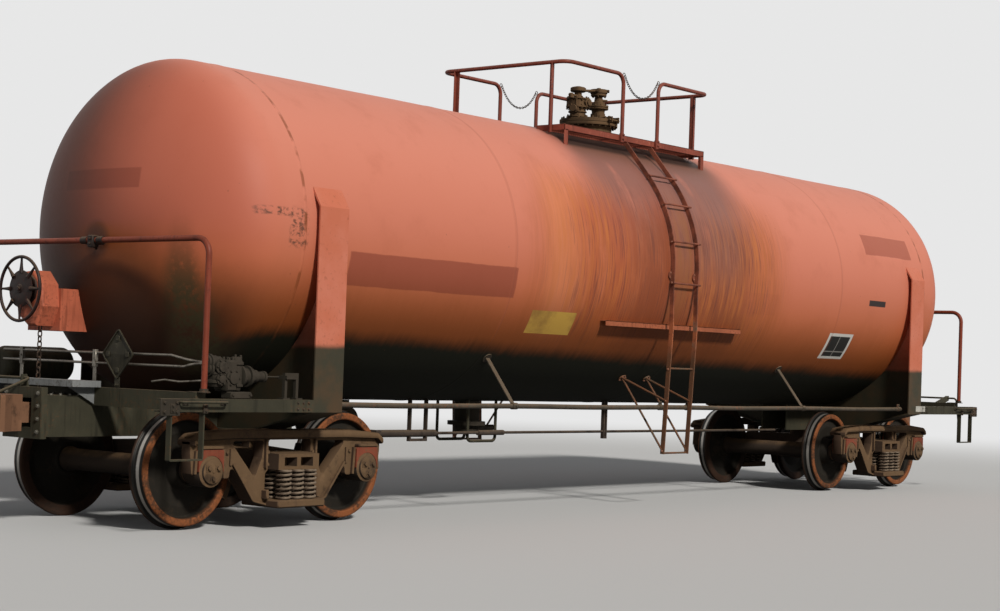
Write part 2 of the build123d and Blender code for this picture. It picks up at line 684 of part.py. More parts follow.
side_rail_bars = [
    bar(
        [
            (-TRUCK_X + BOLSTER_HALF_WIDTH, -SIDE_RAIL_Y, up(SIDE_RAIL_HEIGHT)),
            (TRUCK_X - BOLSTER_HALF_WIDTH, -SIDE_RAIL_Y, up(SIDE_RAIL_HEIGHT)),
        ],
        SIDE_RAIL_RADIUS,
    )
]
for post_x in (-SIDE_POST_X, SIDE_POST_X):
    post_foot = (post_x, -SIDE_RAIL_Y, up(SIDE_RAIL_HEIGHT))
    post_head = (post_x, -side_post_top[0], side_post_top[1])
    side_rail_bars.append(bar([post_foot, post_head], SIDE_POST_RADIUS))
with BuildPart() as side_handrails:
    add(side_rail_bars)
    with BuildSketch(Plane.YZ.offset(-TANK_HALF_LENGTH)):
        with Locations((0, TANK_Z)):
            Circle(TANK_RADIUS)
    extrude(amount=2 * TANK_HALF_LENGTH, mode=Mode.SUBTRACT)
    mirror(about=Plane.XZ)
side_handrails.part.label = "side_handrails"
export_step(side_handrails.part, "parts/side_handrails.step")

# Hand brake: a bracket on the tank head, a gear housing, a spoked wheel, a step and a chain.
BRAKE_Y = 520
BRAKE_HEIGHT = 1855
BRAKE_BRACKET_X = -6500
BRAKE_WHEEL_X = -6750
BRAKE_WHEEL_RADIUS = 275
BRAKE_RIM = 14
BRAKE_HUB = 45
BRAKE_SPOKE = (20, 16)
BRACKET_HALF = 210
BRACKET_WALL = 10
BRACKET_LOW = 1525
BRACKET_HIGH = 1870

with BuildPart() as hand_brake_bracket:
    for wall_y in (-BRACKET_HALF, BRACKET_HALF - BRACKET_WALL):
        with BuildSketch(side_plane(BRAKE_Y - wall_y)):
            with BuildLine():
                Polyline(
                    (BRAKE_BRACKET_X, up(BRACKET_LOW)),
                    (-6150, up(BRACKET_LOW)),
                    (-6250, up(BRACKET_HIGH)),
                    (BRAKE_BRACKET_X, up(BRACKET_HIGH)),
                    close=True,
                )
            make_face()
        extrude(amount=BRACKET_WALL)
    with BuildSketch(Plane.YZ.offset(BRAKE_BRACKET_X)):
        with Locations((BRAKE_Y, up((BRACKET_LOW + BRACKET_HIGH) / 2))):
            Rectangle(2 * BRACKET_HALF, BRACKET_HIGH - BRACKET_LOW)
    extrude(amount=BRACKET_WALL)
    add(tank_shell.part, mode=Mode.SUBTRACT)
hand_brake_bracket.part.label = "hand_brake_bracket"
export_step(hand_brake_bracket.part, "parts/hand_brake_bracket.step")

HOUSING_DEPTH = 170
HOUSING_CORNER = 25
with BuildPart() as hand_brake_housing:
    with BuildSketch(Plane.YZ.offset(BRAKE_BRACKET_X - HOUSING_DEPTH)):
        with BuildLine():
            Polyline(
                (BRAKE_Y - 120, up(1560)),
                (BRAKE_Y - 190, up(1720)),
                (BRAKE_Y - 170, up(1900)),
                (BRAKE_Y - 60, up(2010)),
                (BRAKE_Y + 80, up(2000)),
                (BRAKE_Y + 150, up(1880)),
                (BRAKE_Y + 120, up(1640)),
                (BRAKE_Y, up(1560)),
                close=True,
            )
        make_face()
    extrude(amount=HOUSING_DEPTH)
    front_edges = hand_brake_housing.faces().sort_by(Axis.X)[0].edges()
    fillet(front_edges, HOUSING_CORNER)
hand_brake_housing.part.label = "hand_brake_housing"
export_step(hand_brake_housing.part, "parts/hand_brake_housing.step")

SPOKES = 8
with BuildPart() as hand_brake_wheel:
    with BuildSketch(Plane.XZ.offset(-BRAKE_Y)):
        with Locations((BRAKE_WHEEL_X, up(BRAKE_HEIGHT) + BRAKE_WHEEL_RADIUS - BRAKE_RIM)):
            Circle(BRAKE_RIM)
    revolve(axis=Axis((0, BRAKE_Y, up(BRAKE_HEIGHT)), (1, 0, 0)))
    with BuildSketch(Plane((BRAKE_WHEEL_X, BRAKE_Y, up(BRAKE_HEIGHT)), x_dir=(0, 1, 0), z_dir=(1, 0, 0))):
        Circle(BRAKE_HUB)
    extrude(amount=BRAKE_BRACKET_X - HOUSING_DEPTH - BRAKE_WHEEL_X)
    with BuildSketch(Plane((BRAKE_WHEEL_X, BRAKE_Y, up(BRAKE_HEIGHT)), x_dir=(0, 1, 0), z_dir=(1, 0, 0))):
        with PolarLocations(BRAKE_WHEEL_RADIUS / 2, SPOKES):
            Rectangle(BRAKE_WHEEL_RADIUS - BRAKE_RIM, BRAKE_SPOKE[0])
    extrude(amount=BRAKE_SPOKE[1] / 2, both=True)
hand_brake_wheel.part.label = "hand_brake_wheel"
export_step(hand_brake_wheel.part, "parts/hand_brake_wheel.step")

BRAKE_CHAIN_X = -6580
BRAKE_CHAIN_Y = BRAKE_Y - 60
BRAKE_CHAIN_TOP = 1564
LINK_LENGTH = 66
LINK_WIDTH = 40
LINK_BAR = 12
LINK_COUNT = 15
LINK_PITCH = LINK_LENGTH - 2 * LINK_BAR - 0.5
with BuildPart() as hand_brake_chain:
    for link in range(LINK_COUNT):
        centre = (BRAKE_CHAIN_X, BRAKE_CHAIN_Y, up(BRAKE_CHAIN_TOP - LINK_LENGTH / 2 - link * LINK_PITCH))
        facing = ((1, 0, 0), (0, 1, 0))[link % 2]
        with BuildSketch(Plane(origin=centre, x_dir=(0, 0, 1), z_dir=facing)):
            SlotOverall(LINK_LENGTH, LINK_WIDTH)
            SlotOverall(LINK_LENGTH - 2 * LINK_BAR, LINK_WIDTH - 2 * LINK_BAR, mode=Mode.SUBTRACT)
        extrude(amount=LINK_BAR / 2, both=True)
    add(hand_brake_housing.part, mode=Mode.SUBTRACT)
hand_brake_chain.part.label = "hand_brake_chain"
export_step(hand_brake_chain.part, "parts/hand_brake_chain.step")

BRAKE_STEP_Y_RANGE = (-290, 950)
BRAKE_STEP_X_RANGE = (-6820, END_BEAM_X * -1 - BEAM_WIDTH / 2)
BRAKE_STEP_TOP = 1135
BRAKE_STEP_LOW = BRAKE_STEP_TOP - 50
BRAKE_STEP_HOLE = (80, 100)
STEP_BRACKET_FOOT = 950
STEP_BRACKET_WALL = 12
with BuildPart() as brake_step:
    with BuildSketch(Plane.XY.offset(up(BRAKE_STEP_LOW))):
        with Locations((sum(BRAKE_STEP_X_RANGE) / 2, sum(BRAKE_STEP_Y_RANGE) / 2)):
            Rectangle(BRAKE_STEP_X_RANGE[1] - BRAKE_STEP_X_RANGE[0], BRAKE_STEP_Y_RANGE[1] - BRAKE_STEP_Y_RANGE[0])
    extrude(amount=BRAKE_STEP_TOP - BRAKE_STEP_LOW)
    with BuildSketch(Plane((BRAKE_CHAIN_X, BRAKE_CHAIN_Y, up(BRAKE_STEP_LOW)))):
        Rectangle(*BRAKE_STEP_HOLE)
    extrude(amount=BRAKE_STEP_TOP - BRAKE_STEP_LOW, mode=Mode.SUBTRACT)
    for bracket_y in (-200, 860):
        with BuildSketch(side_plane(bracket_y)):
            with BuildLine():
                Polyline(
                    (BRAKE_STEP_X_RANGE[1], up(STEP_BRACKET_FOOT)),
                    (BRAKE_STEP_X_RANGE[1], up(BRAKE_STEP_LOW)),
                    (BRAKE_STEP_X_RANGE[0] + 20, up(BRAKE_STEP_LOW)),
                    close=True,
                )
            make_face()
        extrude(amount=STEP_BRACKET_WALL)
brake_step.part.label = "brake_step"
export_step(brake_step.part, "parts/brake_step.step")

# Air brake: control valve and its pipe bracket on the near sill, reservoir, cylinder and rods.
VALVE_Y = -1340
VALVE_DEPTH = 170
VALVE_FOOT_HIGH = 1095
VALVE_LEFT = -6355
VALVE_RIGHT = -6052
VALVE_TOP = 1369
# columns: where a round portion starts and ends along the car, its radius
VALVE_PORTIONS = (
    (-6396, VALVE_LEFT, 60),
    (VALVE_RIGHT, -6027, 86),
    (-6027, -5975, 66),
    (-5975, -5950, 84),
    (-5950, -5870, 52),
    (-5870, -5770, 36),
)
# columns: x and height of a cover's centre on the near face, its radius, how far it stands out
VALVE_COVERS = ((-6280, 1285, 62, 34), (-6285, 1180, 48, 18), (-6130, 1240, 70, 24), (-6130, 1240, 40, 44))
with BuildPart() as control_valve:
    with BuildSketch(Plane((-6100, VALVE_Y - 40, up(SILL_HIGH)))):
        Rectangle(220, 120)
    extrude(amount=VALVE_FOOT_HIGH - SILL_HIGH)
    with BuildSketch(side_plane(VALVE_Y + VALVE_DEPTH / 2)):
        with BuildLine():
            Polyline(
                (VALVE_LEFT, up(1150)),
                (VALVE_LEFT + 35, up(1119)),
                (-6212, up(VALVE_FOOT_HIGH)),
                (VALVE_RIGHT, up(VALVE_FOOT_HIGH)),
                (VALVE_RIGHT, up(VALVE_TOP - 30)),
                (VALVE_RIGHT - 30, up(VALVE_TOP)),
                (VALVE_LEFT + 30, up(VALVE_TOP)),
                (VALVE_LEFT, up(VALVE_TOP - 30)),
                close=True,
            )
        make_face()
    extrude(amount=VALVE_DEPTH)
    for portion_start, portion_finish, radius in VALVE_PORTIONS:
        height = 1320 if portion_finish == VALVE_LEFT else 1215
        with BuildSketch(Plane.YZ.offset(portion_start)):
            with Locations((VALVE_Y, up(height))):
                Circle(radius)
        extrude(amount=portion_finish - portion_start)
    for cover_x, height, radius, stand in VALVE_COVERS:
        with BuildSketch(side_plane(VALVE_Y - VALVE_DEPTH / 2, cover_x)):
            with Locations((0, up(height))):
                Circle(radius)
        extrude(amount=stand)
control_valve.part.label = "control_valve"
export_step(control_valve.part, "parts/control_valve.step")

# Release rod: it runs from the valve to a small upright frame on the sill.
ROD_STAND_X = -5542
ROD_STAND_HIGH = 1250
ROD_STAND_WIDTH = 150
ROD_STAND_DEPTH = 30
RELEASE_ROD_HEIGHT = 1215
RELEASE_ROD_RADIUS = 7
ROD_EYE = (70, 110, 28)
with BuildPart() as release_rod:
    with BuildSketch(side_plane(VALVE_Y - 45, ROD_STAND_X)):
        with Locations((0, up((SILL_HIGH + ROD_STAND_HIGH) / 2))):
            Rectangle(ROD_STAND_WIDTH, ROD_STAND_HIGH - SILL_HIGH)
        with Locations((0, up((SILL_HIGH + ROD_STAND_HIGH - 50) / 2))):
            Rectangle(ROD_STAND_WIDTH - 54, ROD_STAND_HIGH - SILL_HIGH - 50, mode=Mode.SUBTRACT)
    extrude(amount=ROD_STAND_DEPTH)
    for foot_x in (-70, 70):
        with BuildSketch(Plane((ROD_STAND_X + foot_x, VALVE_Y - 60, up(SILL_HIGH)))):
            Rectangle(70, 70)
        extrude(amount=12)
    with BuildSketch(Plane.YZ.offset(VALVE_PORTIONS[-1][1])):
        with Locations((VALVE_Y, up(RELEASE_ROD_HEIGHT))):
            Circle(RELEASE_ROD_RADIUS)
    extrude(amount=ROD_STAND_X - ROD_STAND_WIDTH / 2 - VALVE_PORTIONS[-1][1])
    with BuildSketch(Plane((ROD_STAND_X - 40, VALVE_Y - 40, up(RELEASE_ROD_HEIGHT) - ROD_EYE[2] / 2))):
        Rectangle(ROD_EYE[0], ROD_EYE[1])
    extrude(amount=ROD_EYE[2])
release_rod.part.label = "release_rod"
export_step(release_rod.part, "parts/release_rod.step")

RESERVOIR_Y = 1210
RESERVOIR_HEIGHT = 1240
RESERVOIR_RADIUS = 150
RESERVOIR_LENGTH = 700
RESERVOIR_MIDDLE_X = -6070
SADDLE_SIZE = (30, 240, 90)
with BuildPart() as air_reservoir:
    with BuildSketch(Plane.YZ.offset(RESERVOIR_MIDDLE_X - RESERVOIR_LENGTH / 2)):
        with Locations((RESERVOIR_Y, up(RESERVOIR_HEIGHT))):
            Circle(RESERVOIR_RADIUS)
    extrude(amount=RESERVOIR_LENGTH)
    fillet(air_reservoir.edges().filter_by(GeomType.CIRCLE), 60)
    with BuildSketch(Plane((RESERVOIR_MIDDLE_X, RESERVOIR_Y + SADDLE_SIZE[1] / 2, up(SILL_HIGH)))):
        with Locations((-200, 0), (200, 0)):
            Rectangle(SADDLE_SIZE[0], SADDLE_SIZE[1])
    extrude(amount=SADDLE_SIZE[2])
air_reservoir.part.label = "air_reservoir"
export_step(air_reservoir.part, "parts/air_reservoir.step")

PIPE_X = -6455
PIPE_END_Y = 1100
PIPE_RADIUS = 9
PIPE_BEND = 45
air_pipe_bars = [
    bar(
        [
            (VALVE_PORTIONS[0][0], VALVE_Y, up(height)),
            (PIPE_X, VALVE_Y, up(height)),
            (PIPE_X, PIPE_END_Y, up(height)),
        ],
        PIPE_RADIUS,
        PIPE_BEND,
    )
    for height in (1360, 1280)
]
with BuildPart() as air_pipes:
    add(air_pipe_bars)
air_pipes.part.label = "air_pipes"
export_step(air_pipes.part, "parts/air_pipes.step")

CYLINDER_X_RANGE = (-3950, -3400)
CYLINDER_HEIGHT = 800
CYLINDER_RADIUS = 140
CYLINDER_HANGER = (160, 120, 420)
with BuildPart() as brake_cylinder:
    with BuildSketch(Plane.YZ.offset(CYLINDER_X_RANGE[0])):
        with Locations((0, up(CYLINDER_HEIGHT))):
            Circle(CYLINDER_RADIUS)
    extrude(amount=CYLINDER_X_RANGE[1] - CYLINDER_X_RANGE[0])
    with BuildSketch(Plane.YZ.offset(CYLINDER_X_RANGE[0] + 60)):
        with Locations((0, up(CYLINDER_HEIGHT) + CYLINDER_RADIUS + 20)):
            Rectangle(CYLINDER_HANGER[0], CYLINDER_HANGER[1])
    extrude(amount=CYLINDER_HANGER[2])
    with BuildSketch(Plane.YZ.offset(CYLINDER_X_RANGE[0])):
        with Locations((0, TANK_Z)):
            Circle(TANK_RADIUS)
    extrude(amount=600, mode=Mode.SUBTRACT)
brake_cylinder.part.label = "brake_cylinder"
export_step(brake_cylinder.part, "parts/brake_cylinder.step")

ROD_HEIGHT = 695
ROD_Y = -250
# columns: where the piece starts and ends along the car, its radius
ROD_PIECES = ((-3900, -3270, 14), (-3270, -2450, 35), (-2450, -1800, 14), (-1800, -1400, 26), (-1400, 3900, 14))
brake_rod_bars = [
    bar([(start, ROD_Y, up(ROD_HEIGHT)), (finish, ROD_Y, up(ROD_HEIGHT))], radius)
    for start, finish, radius in ROD_PIECES
]
LEVER_X = -3340
LEVER_SIZE = (70, 440, 22)
HANGER_HEIGHT = 450
HANGER_BAR = 18
# columns: x of a rod hanger's middle, its width
ROD_HANGERS = ((-2700, 250), (330, 60))
with BuildPart() as brake_rods:
    add(brake_rod_bars)
    with BuildSketch(Plane((LEVER_X, ROD_Y / 2, up(ROD_HEIGHT) + 14))):
        Rectangle(LEVER_SIZE[0], LEVER_SIZE[1])
    extrude(amount=LEVER_SIZE[2])
    with BuildSketch(Plane((LEVER_X, 30, up(ROD_HEIGHT) + 14))):
        Rectangle(50, 50)
    extrude(amount=80)
    for hanger_x, hanger_wide in ROD_HANGERS:
        with BuildSketch(side_plane(ROD_Y + 20, hanger_x)):
            with Locations((0, up(ROD_HEIGHT) + 150)):
                Rectangle(hanger_wide, HANGER_HEIGHT)
                Rectangle(hanger_wide - 2 * HANGER_BAR, HANGER_HEIGHT - 50, mode=Mode.SUBTRACT)
        extrude(amount=40)
    with BuildSketch(Plane.YZ.offset(-TANK_HALF_LENGTH)):
        with Locations((0, TANK_Z)):
            Circle(TANK_RADIUS)
    extrude(amount=2 * TANK_HALF_LENGTH, mode=Mode.SUBTRACT)
brake_rods.part.label = "brake_rods"
export_step(brake_rods.part, "parts/brake_rods.step")

# Bottom outlet: a nozzle and valve body under the tank, with a skid guard round it.
OUTLET_X = -1680
OUTLET_MOUTH = 690
OUTLET_RADIUS = 130
OUTLET_BORE = 51
OUTLET_BORE_DEPTH = 270
OUTLET_COLLAR = (190, 760, 40)
OUTLET_HANDLE = (28, 735, 320)
OUTLET_CUT = 600
with BuildPart() as outlet_valve:
    with BuildSketch(Plane((OUTLET_X, 0, up(OUTLET_MOUTH)))):
        Circle(OUTLET_RADIUS)
    extrude(amount=TANK_AXIS_HEIGHT - TANK_RADIUS + 30 - OUTLET_MOUTH)
    with BuildSketch(Plane((OUTLET_X, 0, up(OUTLET_COLLAR[1])))):
        Circle(OUTLET_COLLAR[0])
    extrude(amount=OUTLET_COLLAR[2])
    with BuildSketch(Plane.YZ.offset(OUTLET_X + 100)):
        with Locations((0, up(OUTLET_HANDLE[1]))):
            Circle(OUTLET_HANDLE[0])
    extrude(amount=OUTLET_HANDLE[2])
    with BuildSketch(Plane.YZ.offset(OUTLET_X - OUTLET_CUT)):
        with Locations((0, TANK_Z)):
            Circle(TANK_RADIUS)
    extrude(amount=2 * OUTLET_CUT, mode=Mode.SUBTRACT)
    with BuildSketch(Plane((OUTLET_X, 0, up(OUTLET_MOUTH)))):
        Circle(OUTLET_BORE)
    extrude(amount=OUTLET_BORE_DEPTH, mode=Mode.SUBTRACT)
outlet_valve.part.label = "outlet_valve"
export_step(outlet_valve.part, "parts/outlet_valve.step")

GUARD_HALF_X = 215
GUARD_Y = 200
GUARD_LOW = 610
GUARD_HIGH = 1040
GUARD_BAR = 15
GUARD_BEND = 50
guard_bars = [
    bar(
        [
            (OUTLET_X - GUARD_HALF_X, y, up(GUARD_HIGH)),
            (OUTLET_X - GUARD_HALF_X, y, up(GUARD_LOW)),
            (OUTLET_X + GUARD_HALF_X, y, up(GUARD_LOW)),
            (OUTLET_X + GUARD_HALF_X, y, up(GUARD_HIGH)),
        ],
        GUARD_BAR,
        GUARD_BEND,
    )
    for y in (-GUARD_Y, GUARD_Y)
]
with BuildPart() as outlet_guard:
    add(guard_bars)
    with BuildSketch(Plane.YZ.offset(OUTLET_X - OUTLET_CUT)):
        with Locations((0, TANK_Z)):
            Circle(TANK_RADIUS)
    extrude(amount=2 * OUTLET_CUT, mode=Mode.SUBTRACT)
outlet_guard.part.label = "outlet_guard"
export_step(outlet_guard.part, "parts/outlet_guard.step")

# Blank placard holders, set on a corner.
PLACARD_HALF = 160
PLACARD_X = 6515
PLACARD_Y = 410
PLACARD_RISE = 235
PLACARD_THICKNESS = 6
with BuildPart() as placard_holders:
    for side in (-1, 1):
        holder_foot = (side * PLACARD_X, side * PLACARD_Y, up(BEAM_HIGH))
        with BuildSketch(Plane(holder_foot, x_dir=(0, 1, 0), z_dir=(1, 0, 0))):
            with Locations((0, PLACARD_RISE)):
                Rectangle(2 * PLACARD_HALF, 2 * PLACARD_HALF, rotation=45)
            with Locations((0, 40)):
                Rectangle(60, 80)
        extrude(amount=PLACARD_THICKNESS)
placard_holders.part.label = "placard_holders"
export_step(placard_holders.part, "parts/placard_holders.step")

# Trucks: cast side frames, bolster, spring nests, bearing adapters and brake beams.
FRAME_FACE = 1060
FRAME_BACK = 955
CHORD_FACE = 1115
CHORD_BACK = 895
HALF_BASE = AXLE_SPACING / 2
BEARING_RADIUS = 125
SPRING_SEAT_TOP = 222
SPRING_SEAT = (540, 440, 66)
SPRING_TOP = 462
BOLSTER_HALF = 230
BOLSTER_END_Y = 1170
BOLSTER_END_TOP = 590
BOLSTER_POCKET_X = 92
BOLSTER_POCKET = (140, 74, 120)
BOWL_RADIUS = 238
SPRING_RADIUS = 68
SPRING_PITCH = 142

# Half outlines of the castings: distance from the middle, height above the rail.
FRAME_OUTLINE = (
    (660, 783),
    (1020, 752),
    (1083, 705),
    (1083, 600),
    (1060, 430),
    (1030, 430),
    (1022, 630),
    (756, 630),
    (740, 395),
    (662, 395),
    (650, 500),
    (401, 197),
    (170, 148),
)
CHORD_OUTLINE = ((660, 783), (1020, 752), (1083, 705), (1083, 640), (1010, 700), (640, 712))
SPRING_WINDOW = ((238, 700), (238, 455), (268, 430), (268, SPRING_SEAT_TOP))
FRAME_WINDOW = ((655, 690), (298, 690), (312, 560), (384, 395))
ADAPTER_OUTLINE = ((130, TREAD_RADIUS), (130, 616), (116, 630))
ADAPTER_DEPTH = 190
CAST_CORNER = 11
BRAKE_BEAM_X = 300
BRAKE_BEAM_HEIGHT = 380
BRAKE_BEAM_SIZE = (70, 80)
BRAKE_HEAD_SIZE = (60, 160)
SHOE_Y = 750
SHOE_WIDTH = 80
SHOE_INNER = TREAD_RADIUS + 12
SHOE_OUTER = TREAD_RADIUS + 60
SHOE_ANGLES = (math.radians(-30), 0, math.radians(22))
COIL_RADIUS = 12.5
COIL_CORE = 47
COILS = 6


def mirrored(half):
    """A whole closed outline from the half on the +X side."""
    points = [(x, up(z)) for x, z in half]
    return points + [(-x, z) for x, z in reversed(points)]


# One spring of a nest: coils stacked on a core, turned about the spring's upright axis.
coil_pitch = (SPRING_TOP - SPRING_SEAT_TOP - 2 * COIL_RADIUS) / (COILS - 1)
coil_centre = SPRING_RADIUS - COIL_RADIUS
coil_reach = math.sqrt(COIL_RADIUS**2 - (coil_centre - COIL_CORE) ** 2)
coil_heights = [COIL_RADIUS + coil * coil_pitch for coil in range(COILS)]
spring_height = SPRING_TOP - SPRING_SEAT_TOP
with BuildPart() as spring:
    with BuildSketch(Plane.XZ):
        with BuildLine():
            Line((0, 0), (coil_centre, 0))
            for coil, height in enumerate(coil_heights):
                start = (coil_centre, 0) if coil == 0 else (COIL_CORE, height - coil_reach)
                finish = (coil_centre, spring_height) if coil == COILS - 1 else (COIL_CORE, height + coil_reach)
                ThreePointArc(start, (SPRING_RADIUS, height), finish)
                if coil < COILS - 1:
                    Line(finish, (COIL_CORE, coil_heights[coil + 1] - coil_reach))
            Line((coil_centre, spring_height), (0, spring_height))
            Line((0, spring_height), (0, 0))
        make_face()
    revolve(axis=Axis.Z)

for end, side in ENDS:
    truck_x = side * TRUCK_X
    with BuildPart() as side_frames:
        with BuildSketch(side_plane(-FRAME_BACK, truck_x)):
            with BuildLine():
                FilletPolyline(*mirrored(FRAME_OUTLINE), radius=CAST_CORNER, close=True)
            make_face()
            with BuildLine():
                FilletPolyline(*mirrored(SPRING_WINDOW), radius=CAST_CORNER, close=True)
            make_face(mode=Mode.SUBTRACT)
            for way in (-1, 1):
                with BuildLine():
                    FilletPolyline(*[(way * x, up(z)) for x, z in FRAME_WINDOW], radius=CAST_CORNER, close=True)
                make_face(mode=Mode.SUBTRACT)
        extrude(amount=FRAME_FACE - FRAME_BACK)
        with BuildSketch(side_plane(-CHORD_BACK, truck_x)):
            with BuildLine():
                FilletPolyline(*mirrored(CHORD_OUTLINE), radius=CAST_CORNER, close=True)
            make_face()
        extrude(amount=CHORD_FACE - CHORD_BACK)
        with BuildSketch(Plane((truck_x, -JOURNAL_Y, up(SPRING_SEAT_TOP - SPRING_SEAT[2])))):
            RectangleRounded(SPRING_SEAT[0], SPRING_SEAT[1], 30)
        extrude(amount=SPRING_SEAT[2])
        mirror(about=Plane.XZ)
    side_frames.part.label = f"side_frames_{end}"
    export_step(side_frames.part, f"parts/side_frames_{end}.step")

    with BuildPart() as truck_bolster:
        with BuildSketch(Plane.YZ.offset(truck_x - BOLSTER_HALF)):
            with BuildLine():
                Polyline(
                    (0, up(320)),
                    (-480, up(340)),
                    (-770, up(SPRING_TOP)),
                    (-BOLSTER_END_Y, up(SPRING_TOP)),
                    (-BOLSTER_END_Y, up(BOLSTER_END_TOP)),
                    (-560, up(620)),
                    (0, up(620)),
                    close=True,
                )
            make_face()
        extrude(amount=2 * BOLSTER_HALF)
        with BuildSketch(Plane.XZ.offset(BOLSTER_END_Y)):
            for pocket_x in (-BOLSTER_POCKET_X, BOLSTER_POCKET_X):
                with Locations((truck_x + pocket_x, up(525))):
                    Rectangle(BOLSTER_POCKET[0], BOLSTER_POCKET[1])
        extrude(amount=-BOLSTER_POCKET[2], mode=Mode.SUBTRACT)
        with BuildSketch(Plane((truck_x, -SIDE_BEARING_Y, up(600)))):
            Rectangle(200, 90)
        extrude(amount=SIDE_BEARING_HEIGHT - 6 - 600)
        mirror(about=Plane.XZ)
        with BuildSketch(Plane((truck_x, 0, up(600)))):
            Circle(BOWL_RADIUS)
        extrude(amount=80)
        with BuildSketch(Plane((truck_x, 0, up(CENTRE_PLATE_HEIGHT - 1)))):
            Circle(CENTRE_PLATE_RADIUS + 6)
        extrude(amount=60, mode=Mode.SUBTRACT)
    truck_bolster.part.label = f"truck_bolster_{end}"
    export_step(truck_bolster.part, f"parts/truck_bolster_{end}.step")

    with BuildPart() as springs:
        with Locations((truck_x, -JOURNAL_Y, up(SPRING_SEAT_TOP)), (truck_x, JOURNAL_Y, up(SPRING_SEAT_TOP))):
            with GridLocations(SPRING_PITCH, SPRING_PITCH, 3, 3):
                add(spring.part)
    springs.part.label = f"springs_{end}"
    export_step(springs.part, f"parts/springs_{end}.step")

    with BuildPart() as adapters:
        for axle in (-1, 1):
            with BuildSketch(side_plane(-JOURNAL_Y + ADAPTER_DEPTH / 2, truck_x + axle * HALF_BASE)):
                with BuildLine():
                    Polyline(*mirrored(ADAPTER_OUTLINE), close=True)
                make_face()
                with Locations((0, AXLE_Z)):
                    Circle(BEARING_RADIUS + 0.5, mode=Mode.SUBTRACT)
            extrude(amount=ADAPTER_DEPTH)
        mirror(about=Plane.XZ)
    adapters.part.label = f"bearing_adapters_{end}"
    export_step(adapters.part, f"parts/bearing_adapters_{end}.step")

    with BuildPart() as brake_beams:
        for axle in (-1, 1):
            axle_x = axle * HALF_BASE
            arcs = [
                [(axle_x - axle * radius * math.cos(a), AXLE_Z + radius * math.sin(a)) for a in angles]
                for radius, angles in ((SHOE_INNER, SHOE_ANGLES), (SHOE_OUTER, SHOE_ANGLES[::-1]))
            ]
            beam_x = truck_x + axle * BRAKE_BEAM_X
            with BuildSketch(side_plane(FRAME_BACK, beam_x)):
                with Locations((0, up(BRAKE_BEAM_HEIGHT))):
                    Rectangle(*BRAKE_BEAM_SIZE)
            extrude(amount=2 * FRAME_BACK)
            for shoe_y in (-SHOE_Y, SHOE_Y):
                with BuildSketch(side_plane(shoe_y + SHOE_WIDTH / 2, beam_x)):
                    with Locations((axle * 55, up(400))):
                        Rectangle(*BRAKE_HEAD_SIZE)
                extrude(amount=SHOE_WIDTH)
                with BuildSketch(side_plane(shoe_y + SHOE_WIDTH / 2, truck_x)):
                    with BuildLine():
                        ThreePointArc(*arcs[0])
                        Line(arcs[0][2], arcs[1][0])
                        ThreePointArc(*arcs[1])
                        Line(arcs[1][2], arcs[0][0])
                    make_face()
                extrude(amount=SHOE_WIDTH)
    brake_beams.part.label = f"brake_beams_{end}"
    export_step(brake_beams.part, f"parts/brake_beams_{end}.step")

# Wheelsets: numbered from the hand-brake end, each an axle with its bearings and two wheels.
# columns: distance from the middle of the car, radius of the step that starts there
AXLE_STEPS = ((0, 88), (600, 92), (640, 105), (860, 82), (880, 112), (915, BEARING_RADIUS), (1095, 98), (1130, 0))
HUB_RADIUS = 140
HUB_STAND = 20
WHEEL_SEAT = 105
AXLE_XS = [side * TRUCK_X + axle * HALF_BASE for end, side in ENDS for axle in (-1, 1)]

